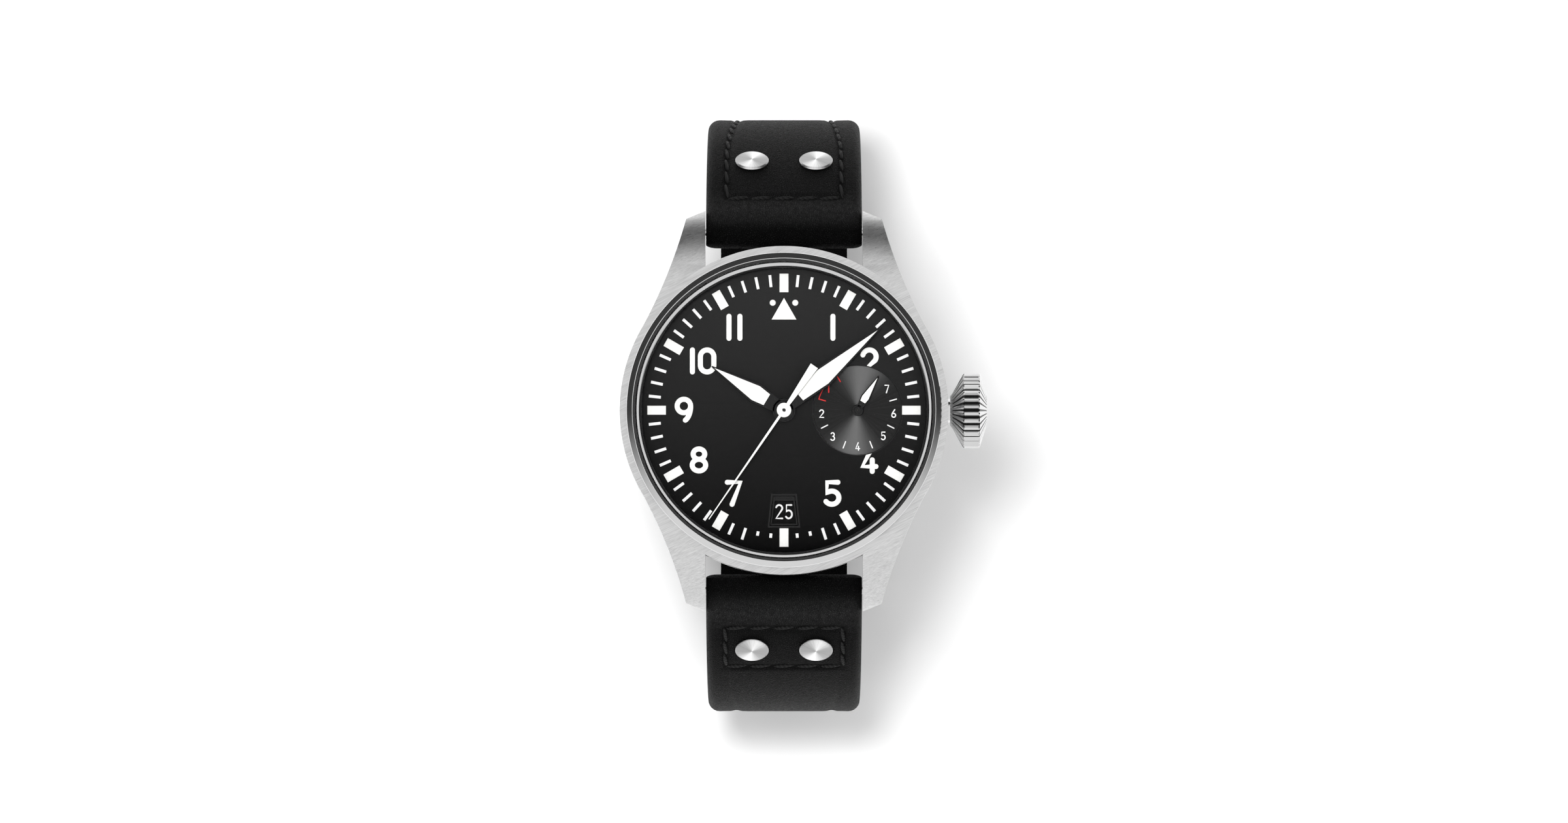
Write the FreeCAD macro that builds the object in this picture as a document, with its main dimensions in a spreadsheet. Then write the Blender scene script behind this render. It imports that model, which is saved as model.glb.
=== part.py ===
import FreeCAD
import Part
import Sketcher
import math
import os
import re

# A large automatic pilot watch standing on its closed strap loop.
# Millimetres, dial up (+Z), 12 o'clock towards +Y, crown towards +X.
# The origin is the centre of the flat outer face of the case back.

doc = FreeCAD.newDocument("pilot_watch")
sheet = doc.addObject("Spreadsheet::Sheet", "Sizes")

SIZES = {
    # case
    "case_radius": 23.15,
    "case_bottom": 0.6,
    "case_top": 11.0,
    "case_chamfer": 2.4,
    "case_bore": 19.6,
    "dial_radius": 20.35,
    "lug_gap": 22.2,
    "lug_reach": 28.25,
    "lug_corner_reach": 27.1,
    "lug_corner_width": 13.8,
    "lug_root_width": 20.7,
    "lug_curve": 74.0,
    "lug_tip_height": 3.9,
    "bar_reach": 25.3,
    "bar_height": 2.8,
    "bar_radius": 0.85,
    "bar_tip_radius": 0.55,
    "fit_gap": 0.05,
    # case back
    "back_radius": 20.6,
    "back_flange": 1.2,
    "back_boss": 2.0,
    # bezel, crystal and flange
    "bezel_radius": 22.2,
    "bezel_top": 14.2,
    "crystal_radius": 20.95,
    "crystal_seat": 13.0,
    "crystal_edge": 14.25,
    "crystal_apex": 15.4,
    "gasket_wall": 0.3,
    "flange_inner": 19.95,
    # dial and its marks
    "dial_bottom": 10.2,
    "dial_top": 10.7,
    "mark_height": 0.12,
    "mark_inner": 16.63,
    "mark_outer": 19.25,
    "mark_width": 1.27,
    "triangle_apex": 15.85,
    "triangle_base": 12.78,
    "triangle_width": 3.52,
    "reserve_reach": 10.37,
    "reserve_radius": 6.3,
    "reserve_sink": 0.25,
    "window_inner": 12.05,
    "window_outer": 16.27,
    "window_inner_width": 3.1,
    "window_outer_width": 4.05,
    # hands
    "hour_length": 12.0,
    "minute_length": 18.06,
    "second_length": 18.66,
    "second_tail": 7.55,
    "reserve_length": 5.71,
    "hand_thickness": 0.2,
    "hour_level": 11.15,
    "minute_level": 11.75,
    "second_level": 12.3,
    "reserve_level": 10.8,
    "hour_angle": 58.8,
    "minute_angle": -49.5,
    "second_angle": 145.5,
    "reserve_angle": -31.6,
    # arbors of the centre stack
    "second_arbor": 0.2,
    "minute_tube": 0.55,
    "hour_tube": 0.95,
    # movement plates
    "plate_radius": 18.2,
    "plate_bottom": 7.7,
    "plate_top": 9.2,
    "rim_wall": 1.2,
    "bridge_bottom": 4.3,
    "bridge_top": 5.2,
    "cage_wall": 0.3,
    "cage_radius": 19.2,
    # wheels: pitch distances from the centre, and thickness
    "wheel_thickness": 0.22,
    "third_distance": 5.1,
    "third_angle": 35.0,
    "escape_distance": 5.0,
    "escape_level": 6.75,
    "barrel_distance": 8.6,
    "barrel_angle": 125.0,
    "balance_distance": 11.3,
    "balance_radius": 4.4,
    "pallet_distance": 8.0,
    "pivot_radius": 0.2,
    "minute_wheel_distance": 3.6,
    "minute_wheel_angle": 200.0,
    "rotor_radius": 17.4,
    "date_outer": 17.2,
    "date_inner": 12.4,
    # crown and stem
    "crown_height": 6.2,
    "crown_neck": 2.1,
    "crown_radius": 5.28,
    "crown_gap": 0.25,
    "crown_shoulder": 2.25,
    "crown_rim": 4.35,
    "crown_end": 5.45,
    "flute_depth": 0.08,
    "tube_radius": 1.7,
    "stem_radius": 0.6,
    "stem_inner": 9.6,
    # strap
    "roll_radius": 2.3,
    "top_bend": 42.0,
    "corner_bend": 25.0,
    "bottom_bend": 75.0,
    "strap_width": 21.8,
    "strap_end_width": 18.0,
    "strap_end": 3.2,
    "strap_side": 4.2,
    "rivet_radius": 2.4,
    "rivet_height": 0.45,
    "rivet_spacing": 9.05,
    "rivet_reach_upper": 35.5,
    "rivet_reach_lower": 33.5,
    # folding clasp
    "clasp_width": 20.0,
    "leaf_width": 11.2,
    "cover_wall": 1.4,
    "leaf_wall": 1.2,
    "leaf_space": 0.4,
    "knuckle_radius": 1.15,
    "pin_radius": 0.6,
    "bar_upper_angle": 13.2,
    "bar_lower_angle": 14.2,
    "first_pin_angle": 10.8,
    "second_pin_angle": 9.4,
}

for row, (alias, number) in enumerate(SIZES.items(), start=1):
    sheet.set(f"A{row}", alias)
    sheet.set(f"B{row}", str(number))
    sheet.setAlias(f"B{row}", alias)
doc.recompute()


def bound(text):
    """An expression on the sheet, from a text that names its cells."""
    return re.sub(r"[a-z]+(?:_[a-z]+)+", lambda word: "Sizes." + word.group(0), str(text))


def value(text):
    return float(sheet.evalExpression(bound(text)))


# Sketches and features

def plane_of(body, role):
    return [item for item in body.Origin.OriginFeatures if item.Role == role][0]


def tie(sketch, constraint, text):
    index = sketch.addConstraint(constraint)
    if re.search("[a-z]", str(text)):
        sketch.setExpression(f"Constraints[{index}]", bound(text))


def draw(sketch, outline):
    """A closed outline of (across, up) corners. A third entry makes the edge that
    arrives there an arc of that radius, anticlockwise when plus and clockwise when minus."""
    corners = [FreeCAD.Vector(value(item[0]), value(item[1]), 0) for item in outline]
    count = len(outline)
    first = sketch.GeometryCount
    ends = []
    for index in range(count):
        start = corners[index]
        stop = corners[(index + 1) % count]
        item = outline[(index + 1) % count]
        if len(item) == 2:
            sketch.addGeometry(Part.LineSegment(start, stop), False)
            ends.append((1, 2))
            continue
        turn = 1 if not str(item[2]).startswith("-") else -1
        radius = value(str(item[2]).lstrip("-"))
        chord = stop - start
        rise = math.sqrt(max(radius ** 2 - chord.Length ** 2 / 4, 0))
        side = FreeCAD.Vector(-chord.y, chord.x, 0).normalize()
        centre = (start + stop) * 0.5 + side * rise * turn
        low, high = (start, stop) if turn > 0 else (stop, start)
        angles = [math.atan2(p.y - centre.y, p.x - centre.x) for p in (low, high)]
        circle = Part.Circle(centre, FreeCAD.Vector(0, 0, 1), radius)
        sketch.addGeometry(Part.ArcOfCircle(circle, angles[0], angles[1]), False)
        ends.append((1, 2) if turn > 0 else (2, 1))
    for index in range(count):
        after = (index + 1) % count
        join = Sketcher.Constraint("Coincident", first + index, ends[index][1], first + after, ends[after][0])
        sketch.addConstraint(join)
    for index, item in enumerate(outline):
        edge, end = first + index, ends[index][0]
        for axis, text, coordinate in (("X", item[0], corners[index].x), ("Y", item[1], corners[index].y)):
            if str(text) == "0":
                line = -2 if axis == "X" else -1
                sketch.addConstraint(Sketcher.Constraint("PointOnObject", edge, end, line))
            else:
                tie(sketch, Sketcher.Constraint("Distance" + axis, -1, 1, edge, end, coordinate), text)
        if len(item) == 3:
            text = str(item[2]).lstrip("-")
            before = first + (index - 1) % count
            tie(sketch, Sketcher.Constraint("Radius", before, value(text)), text)


def ring(sketch, radius, across="0", up="0"):
    """A circle of a given radius about (across, up)."""
    centre = FreeCAD.Vector(value(across), value(up), 0)
    edge = sketch.addGeometry(Part.Circle(centre, FreeCAD.Vector(0, 0, 1), value(radius)), False)
    for axis, text, coordinate in (("X", across, centre.x), ("Y", up, centre.y)):
        if str(text) == "0":
            sketch.addConstraint(Sketcher.Constraint("PointOnObject", edge, 3, -2 if axis == "X" else -1))
        else:
            tie(sketch, Sketcher.Constraint("Distance" + axis, -1, 1, edge, 3, coordinate), text)
    tie(sketch, Sketcher.Constraint("Radius", edge, value(radius)), radius)


def sketch_on(body, role, outlines=(), rings=(), lift="0"):
    sketch = body.newObject("Sketcher::SketchObject", body.Label + "_sketch")
    sketch.AttachmentSupport = [(plane_of(body, role), "")]
    sketch.MapMode = "FlatFace"
    if str(lift) != "0":
        sketch.setExpression("AttachmentOffset.Base.z", bound(lift))
    for outline in outlines:
        draw(sketch, outline)
    for item in rings:
        ring(sketch, *item)
    return sketch


def new_body(label):
    body = doc.addObject("PartDesign::Body", label)
    body.Label = label
    return body


def turned(body, outlines, cut=False):
    """Revolve (radius, height) outlines about the body's own Z axis."""
    sketch = sketch_on(body, "XZ_Plane", outlines)
    kind = "PartDesign::Groove" if cut else "PartDesign::Revolution"
    feature = body.newObject(kind, body.Label + "_turned")
    feature.Profile = sketch
    feature.ReferenceAxis = (sketch, ["V_Axis"])
    feature.Angle = 360
    return feature


def raised(body, length, role="XY_Plane", outlines=(), rings=(), lift="0", both=False, back=False):
    """Pad outlines and circles by a length, to both sides or backwards if asked."""
    feature = body.newObject("PartDesign::Pad", body.Label + "_pad")
    feature.Profile = sketch_on(body, role, outlines, rings, lift)
    feature.setExpression("Length", bound(length))
    feature.Midplane = both
    feature.Reversed = back
    return feature


def sunk(body, length, role="XY_Plane", outlines=(), rings=(), lift="0", both=False, back=True):
    """Cut outlines and circles out by a length along the plane's normal."""
    feature = body.newObject("PartDesign::Pocket", body.Label + "_pocket")
    feature.Profile = sketch_on(body, role, outlines, rings, lift)
    feature.setExpression("Length", bound(length))
    feature.Midplane = both
    feature.Reversed = back
    return feature


def patterned(body, feature, count):
    pattern = body.newObject("PartDesign::PolarPattern", body.Label + "_pattern")
    pattern.Originals = [feature]
    pattern.Axis = (plane_of(body, "Z_Axis"), [""])
    pattern.Angle = 360
    pattern.Occurrences = count
    body.Tip = pattern
    return pattern


def placed(body, across="0", along="0", height="0"):
    for axis, text in (("x", across), ("y", along), ("z", height)):
        if str(text) != "0":
            body.setExpression(f"Placement.Base.{axis}", bound(text))


def solid(label, shape):
    """A piece whose shape is built with Part's own functions from the sheet's sizes."""
    feature = doc.addObject("Part::Feature", label)
    feature.Label = label
    feature.Shape = shape
    return feature


def disc(radius, low, high, x=0.0, y=0.0):
    """A round piece inside the case, as a prism of few sides to keep the model light."""
    sides = 12 if radius < 0.5 else 18 if radius < 1.5 else 24 if radius < 6 else 40 if radius < 19.5 else 72
    corners = []
    for index in range(sides + 1):
        turn = 2 * math.pi * (index % sides) / sides
        corners.append(FreeCAD.Vector(x + radius * math.cos(turn), y + radius * math.sin(turn), low))
    return Part.Face(Part.makePolygon(corners)).extrude(FreeCAD.Vector(0, 0, high - low))


def rod(radius, low, high, x=0.0, y=0.0):
    """A true round shaft, or the bore for one."""
    return Part.makeCylinder(radius, high - low, FreeCAD.Vector(x, y, low))


def polar(distance, angle):
    """The (x, y) of an arbor named by its distance from the centre and its angle."""
    turn = math.radians(value(angle))
    return value(distance) * math.cos(turn), value(distance) * math.sin(turn)


KEPT = []


def keep(*pieces):
    KEPT.extend(pieces)


# Case

def case_middle():
    barrel = new_body("case_barrel")
    turned(barrel, [[
        ("0", "case_bottom"),
        ("case_radius - 1.6", "case_bottom"),
        ("case_radius", "case_bottom + case_chamfer"),
        ("case_radius", "case_top - case_chamfer"),
        ("bezel_radius + 0.1", "case_top"),
        ("0", "case_top"),
    ]])
    lugs = new_body("lug_plan")
    corners = (("lug_gap / 2", "9"), ("lug_root_width", "case_radius * 0.458"),
               ("lug_corner_width", "lug_corner_reach"), ("lug_gap / 2", "lug_reach"))
    outlines = []
    for side in (1, -1):
        for end in (1, -1):
            outline = []
            for index, (across, along) in enumerate(corners):
                point = [across if side > 0 else f"-({across})", along if end > 0 else f"-({along})"]
                if index == 2:
                    point.append("-lug_curve" if side * end > 0 else "lug_curve")
                outline.append(tuple(point))
            outlines.append(outline)
    raised(lugs, "case_top", outlines=outlines, lift="case_bottom - 0.4")
    flanks = new_body("lug_flanks")
    outlines = []
    for end in (1, -1):
        side = "" if end > 0 else "-"
        bend = "-" if end > 0 else ""
        outlines.append([
            (f"{side}8", "case_bottom + 0.3"),
            (f"{side}8", "case_top - 0.6"),
            (f"{side}17", "case_top - 0.6"),
            (f"{side}lug_reach", "lug_tip_height", f"{bend}16"),
            (f"{side}(lug_reach + 0.3)", "lug_tip_height - 1.2", f"{bend}1.2"),
            (f"{side}(lug_reach - 1.6)", "case_bottom", f"{bend}3.2"),
            (f"{side}21", "case_bottom + 0.3", "-22" if end > 0 else "22"),
        ])
    raised(flanks, "4 * case_radius", "YZ_Plane", outlines=outlines, both=True)
    lug_blocks = doc.addObject("Part::MultiCommon", "lug_blocks")
    lug_blocks.Shapes = [lugs, flanks]
    blank = doc.addObject("Part::MultiFuse", "case_blank")
    blank.Shapes = [barrel, lug_blocks]

    back = value("back_flange")
    seat = value("dial_bottom") - 0.5
    hollow = disc(value("back_radius") + 0.08, -1, back)
    hollow = hollow.fuse(disc(value("case_bore + fit_gap"), back, seat))
    hollow = hollow.fuse(disc(value("dial_radius") + 0.08, seat, value("case_top") + 1))
    hollow = solid("case_hollow", hollow.removeSplitter())
    rolls = new_body("strap_rolls")
    reach = "roll_radius + 0.45"
    raised(rolls, "lug_gap", "YZ_Plane", both=True,
           rings=[(reach, "bar_reach", "bar_height"), (reach, "-bar_reach", "bar_height")])
    bars = new_body("bar_holes")
    hole = "bar_tip_radius + fit_gap"
    raised(bars, "lug_gap + 2.4", "YZ_Plane", both=True,
           rings=[(hole, "bar_reach", "bar_height"), (hole, "-bar_reach", "bar_height")])
    neck = new_body("tube_hole")
    raised(neck, "12", "YZ_Plane", rings=[("tube_radius", "0", "crown_height")], lift="17")
    tools = doc.addObject("Part::MultiFuse", "case_tools")
    tools.Shapes = [hollow, rolls, bars, neck]
    case = doc.addObject("Part::Cut", "case_middle")
    case.Label = "case_middle"
    case.Base = blank
    case.Tool = tools
    keep(case)


def case_back():
    body = new_body("case_back")
    turned(body, [[
        ("0", "0"),
        ("back_radius - 0.5", "0"),
        ("back_radius", "back_flange"),
        ("case_bore - fit_gap", "back_flange"),
        ("case_bore - fit_gap", "back_boss"),
        ("0", "back_boss"),
    ]])
    notch = sunk(body, "0.5", outlines=[[
        ("back_radius - 2.2", "-0.8"), ("back_radius - 2.2", "0.8"),
        ("back_radius + 1", "0.8"), ("back_radius + 1", "-0.8"),
    ]])
    patterned(body, notch, 6)
    low, high = value("back_boss") + 0.02, value("back_boss") + 0.35
    gasket = disc(value("case_bore - fit_gap"), low, high).cut(disc(value("case_bore - 1.4"), low, high))
    gasket = solid("case_back_gasket", gasket)
    keep(body, gasket)


def bezel_and_crystal():
    bezel = new_body("bezel")
    turned(bezel, [[
        ("crystal_radius + gasket_wall", "case_top"),
        ("bezel_radius", "case_top"),
        ("bezel_radius - 0.5", "bezel_top"),
        ("crystal_radius + gasket_wall", "bezel_top"),
    ]])
    low, high = value("crystal_seat") - 0.2, value("bezel_top") - 0.1
    gasket = disc(value("crystal_radius + gasket_wall"), low, high)
    gasket = solid("crystal_gasket", gasket.cut(disc(value("crystal_radius") + 0.03, low, high)))
    crystal = new_body("crystal")
    turned(crystal, [[
        ("0", "crystal_seat"),
        ("crystal_radius", "crystal_seat"),
        ("crystal_radius", "crystal_edge"),
        ("crystal_radius - 7", "crystal_apex"),
        ("0", "crystal_apex"),
    ]])
    flange = new_body("flange_ring")
    turned(flange, [[
        ("flange_inner", "dial_top"),
        ("dial_radius", "dial_top"),
        ("dial_radius", "crystal_seat - 0.1"),
    ]])
    keep(bezel, gasket, crystal, flange)


# Dial side

def sector_outline(inner, outer, inner_width, outer_width, sign="-"):
    """A trapezoid across the 6 o'clock line."""
    return [
        (f"-({inner_width}) / 2", f"{sign}({inner})"), (f"({inner_width}) / 2", f"{sign}({inner})"),
        (f"({outer_width}) / 2", f"{sign}({outer})"), (f"-({outer_width}) / 2", f"{sign}({outer})"),
    ]


def dial():
    body = new_body("dial")
    raised(body, "dial_top - dial_bottom", lift="dial_bottom",
           rings=[("dial_radius", "0", "0"), ("hour_tube + 0.1", "0", "0"),
                  ("reserve_radius", "reserve_reach", "0")])
    sunk(body, "1", lift="dial_bottom - 0.1",
         outlines=[sector_outline("window_inner + 0.3", "window_outer - 0.3",
                                  "window_inner_width - 0.6", "window_outer_width - 0.6")])
    sunk(body, "1", lift="dial_top - 0.25",
         outlines=[sector_outline("window_inner", "window_outer", "window_inner_width", "window_outer_width")])
    plate = new_body("sub_dial")
    raised(plate, "dial_top - dial_bottom - reserve_sink", lift="dial_bottom",
           rings=[("reserve_radius", "0", "0"), ("second_arbor + 0.1", "0", "0")])
    placed(plate, "reserve_reach")
    keep(body, plate)


def hour_markers():
    low = value("dial_top")
    high = value("mark_height")
    length = value("mark_outer - mark_inner")
    width = value("mark_width")
    blocks = []
    for hour in range(12):
        block = Part.makeBox(width, length, high, FreeCAD.Vector(-width / 2, value("mark_inner"), low))
        block.rotate(FreeCAD.Vector(), FreeCAD.Vector(0, 0, 1), -30 * hour)
        blocks.append(block)
    half = value("triangle_width") / 2
    base, apex = value("triangle_base"), value("triangle_apex")
    corners = [FreeCAD.Vector(x, y, low) for x, y in ((-half, base), (half, base), (0, apex), (-half, base))]
    blocks.append(Part.Face(Part.makePolygon(corners)).extrude(FreeCAD.Vector(0, 0, high)))
    for side in (-1, 1):
        blocks.append(disc(0.43, low, low + high, side * 1.59, 15.15))
    keep(solid("hour_markers", Part.makeCompound(blocks)))


# Hands

def hand(label, outline, hub, bore, level, angle, across="0"):
    """A flat hand along +Y on a round hub, turned to its angle."""
    body = new_body(label)
    raised(body, "hand_thickness", rings=[(hub, "0", "0")])
    raised(body, "hand_thickness", outlines=[outline])
    if bore:
        sunk(body, "hand_thickness", rings=[(bore, "0", "0")])
    placed(body, across, "0", level)
    body.setExpression("Placement.Rotation.Angle", bound(angle))
    keep(body)
    return body


def blade(root, widest, widest_at, length, tip):
    """A sword outline: from the hub out to its widest place and on to the tip."""
    return [
        (f"-({root})", "0.3"), (root, "0.3"), (widest, widest_at), (tip, f"{length} - 0.2"),
        ("0", length), (f"-({tip})", f"{length} - 0.2"), (f"-({widest})", widest_at),
    ]


def hands():
    hand("hour_hand", blade("0.85", "1.42", "4.65", "hour_length", "0.16"), "1.67", "hour_tube",
         "hour_level", "hour_angle")
    hand("minute_hand", blade("0.7", "1.5", "7.2", "minute_length", "0.16"), "1.4", "minute_tube",
         "minute_level", "minute_angle")
    second = [
        ("-0.65", "-second_tail"), ("0.65", "-second_tail"), ("0.25", "-0.6"), ("0.18", "0.6"),
        ("0.08", "second_length"), ("-0.08", "second_length"), ("-0.18", "0.6"), ("-0.25", "-0.6"),
    ]
    hand("second_hand", second, "1.02", "second_arbor", "second_level", "second_angle")
    hand("reserve_hand", blade("0.4", "0.67", "2.1", "reserve_length", "0.1"), "0.81", "second_arbor",
         "reserve_level", "reserve_angle", "reserve_reach")


# Wheels

def toothed(radius, teeth, low, high, depth=None, share=0.5):
    """A wheel with pointed teeth of a given pitch radius."""
    depth = depth or math.pi * radius / teeth * 0.8
    points = []
    for tooth in range(teeth):
        for place, reach in ((0.0, radius + depth / 2), (share, radius - depth / 2), (1 - share * 0.5, radius - depth / 2)):
            turn = 2 * math.pi * (tooth + place) / teeth
            points.append(FreeCAD.Vector(reach * math.cos(turn), reach * math.sin(turn), low))
    points.append(points[0])
    return Part.Face(Part.makePolygon(points)).extrude(FreeCAD.Vector(0, 0, high - low))


def spoked(wheel, rim, hub, low, high, spokes=4):
    """Cut the windows between the spokes of a wheel."""
    cutter = disc(rim, low - 1, high + 1).cut(disc(hub, low - 1, high + 1))
    for index in range(spokes):
        arm = Part.makeBox(rim + 1, 0.5, high - low + 2, FreeCAD.Vector(0, -0.25, low - 1))
        arm.rotate(FreeCAD.Vector(), FreeCAD.Vector(0, 0, 1), 360 / spokes * index)
        cutter = cutter.cut(arm)
    return wheel.cut(cutter)


def joined(*shapes):
    whole = shapes[0]
    for shape in shapes[1:]:
        whole = whole.fuse(shape)
    return whole.removeSplitter()


def wheel_at(label, shape, distance, angle):
    feature = solid(label, shape)
    x, y = polar(distance, angle)
    feature.Placement = FreeCAD.Placement(FreeCAD.Vector(x, y, 0), FreeCAD.Rotation())
    keep(feature)
    return feature


def going_train():
    thick = value("wheel_thickness")
    arbor = value("second_arbor")
    tube = value("minute_tube")
    gap = value("fit_gap")
    pivot = value("pivot_radius")
    top = value("plate_bottom") + 0.6
    low = value("bridge_top") - 0.4
    third = value("third_distance")
    escape = value("escape_distance")
    barrel = value("barrel_distance")

    fourth = spoked(toothed(escape * 60 / 66, 60, 5.4, 5.4 + thick), 3.9, 0.8, 5.4, 5.4 + thick)
    pinion = toothed(third * 6 / 51, 6, 5.4 + thick, 6.15)
    shaft = rod(arbor, low, value("second_level + hand_thickness"))
    keep(solid("fourth_wheel", joined(fourth, pinion, shaft)))

    wheel = toothed(third * 45 / 51, 45, 5.9, 5.9 + thick)
    wheel = spoked(wheel, 3.7, 0.9, 5.9, 5.9 + thick)
    leaves = toothed(third * 6 / 54, 6, 5.9 + thick, 6.6)
    wheel_at("third_wheel", joined(wheel, leaves, rod(pivot, low, top)), "third_distance", "third_angle")

    centre = spoked(toothed(third * 48 / 54, 48, 6.3, 6.3 + thick), 3.7, 1.2, 6.3, 6.3 + thick)
    leaves = toothed(barrel * 12 / 96, 12, 6.3 + thick, 7.35)
    pipe = rod(tube, 6.3, value("plate_top"))
    centre = joined(centre, leaves, pipe).cut(rod(arbor + gap, 6, 13))
    keep(solid("centre_wheel", centre))

    cannon = joined(toothed(0.9, 12, value("plate_top") + 0.05, value("plate_top") + 0.37),
                    rod(tube, value("plate_top"), value("minute_level + hand_thickness")))
    keep(solid("cannon_pinion", cannon.cut(rod(arbor + gap, 6, 13))))

    drum = joined(toothed(barrel * 84 / 96, 84, 6.8, 7.3), disc(7.0, 6.8, 8.7))
    drum = drum.cut(rod(0.7 + gap, 6, 9))
    wheel_at("mainspring_barrel", drum, "barrel_distance", "barrel_angle")
    shaft = rod(0.7, value("bridge_top"), value("plate_top") - 0.1)
    wheel_at("barrel_arbor", shaft, "barrel_distance", "barrel_angle")

    level = value("escape_level")
    escape_wheel = toothed(2.1, 15, level, level + thick, 0.6, 0.25)
    escape_wheel = spoked(escape_wheel, 1.6, 0.6, level, level + thick)
    leaves = toothed(escape * 6 / 66, 6, 5.35, 5.9)
    wheel_at("escape_wheel", joined(escape_wheel, leaves, rod(pivot, low, top)), "escape_distance", "270")


def escapement():
    low = value("bridge_top") - 0.4
    top = value("plate_bottom") + 0.6
    pivot = value("pivot_radius")
    gap = value("fit_gap")
    level = value("escape_level")
    lever = [(-0.25, -1.7), (0.25, -1.7), (0.3, -0.3), (2.1, 0.45), (2.0, 0.75), (0, 0.25),
             (-2.0, 0.75), (-2.1, 0.45), (-0.3, -0.3), (-0.25, -1.7)]
    plate = Part.Face(Part.makePolygon([FreeCAD.Vector(x, y, level) for x, y in lever]))
    plate = plate.extrude(FreeCAD.Vector(0, 0, 0.2))
    fork = joined(plate, rod(pivot, level - 0.35, top)).cut(disc(0.35, level - 1, level + 1, 0, -1.75))
    wheel_at("pallet_fork", fork, "pallet_distance", "270")

    foot, floor = value("plate_bottom"), level - 0.5
    bridge = Part.makeBox(6.6, 0.8, 0.4, FreeCAD.Vector(-3.3, -0.4, floor))
    for side in (-1, 1):
        bridge = bridge.fuse(Part.makeBox(0.7, 0.8, foot - floor, FreeCAD.Vector(side * 2.95 - 0.35, -0.4, floor)))
    bridge = bridge.removeSplitter().cut(disc(pivot + gap, level - 0.4, level + 0.2))
    wheel_at("pallet_bridge", bridge, "pallet_distance", "270")

    rim = value("balance_radius")
    balance = disc(rim, 5.4, 5.7).cut(disc(rim - 0.5, 5, 6))
    bar = Part.makeBox(2 * rim - 0.6, 0.6, 0.3, FreeCAD.Vector(0.3 - rim, -0.3, 5.4))
    roller = disc(0.6, 5.7, 5.85)
    pin = disc(0.12, 5.7, level + 0.15, 0, 1.2)
    arm = Part.makeBox(0.3, 1.3, 0.15, FreeCAD.Vector(-0.15, 0, 5.7))
    staff = rod(0.3, low + 0.45, top).fuse(rod(pivot, low, top))
    wheel_at("balance_wheel", joined(balance, bar, roller, arm, pin, staff), "balance_distance", "270")


def motion_work():
    base = value("plate_top") + 0.05
    thick = value("wheel_thickness")
    wheel = toothed(2.7, 36, base, base + thick)
    wheel = spoked(wheel, 2.2, 0.8, base, base + thick, 3)
    leaves = toothed(0.72, 10, base + thick, base + 0.7)
    stud = rod(0.25, value("plate_top") - 0.8, base + 0.7)
    wheel_at("minute_wheel", joined(wheel, leaves, stud), "minute_wheel_distance", "minute_wheel_angle")
    hour = toothed(2.88, 40, base + 0.45, base + 0.45 + thick)
    pipe = rod(value("hour_tube"), base + 0.45, value("hour_level + hand_thickness"))
    bore = rod(value("minute_tube + fit_gap"), 9, 13)
    keep(solid("hour_wheel", joined(hour, pipe).cut(bore)))
    reserve = toothed(1.5, 24, base, base + thick)
    shaft = rod(value("second_arbor"), value("plate_top") - 0.8, value("reserve_level + hand_thickness"))
    wheel_at("reserve_wheel", joined(reserve, shaft), "reserve_reach", "0")


def date_disc():
    low, high = 9.55, 9.8
    outer, inner = value("date_outer"), value("date_inner")
    points = []
    for tooth in range(31):
        for place, reach in ((0.0, inner - 0.5), (0.3, inner), (0.7, inner)):
            turn = 2 * math.pi * (tooth + place) / 31
            points.append(FreeCAD.Vector(reach * math.cos(turn), reach * math.sin(turn), low - 1))
    points.append(points[0])
    hole = Part.Face(Part.makePolygon(points)).extrude(FreeCAD.Vector(0, 0, 3))
    keep(solid("date_disc", disc(outer, low, high).cut(hole)))


# Plates and bridges

def stem_hole(radius, start):
    """A hole for the winding stem, along X from start outwards."""
    place = FreeCAD.Vector(start, 0, value("crown_height"))
    return Part.makeCylinder(radius, value("case_radius") - start, place, FreeCAD.Vector(1, 0, 0))


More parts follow.
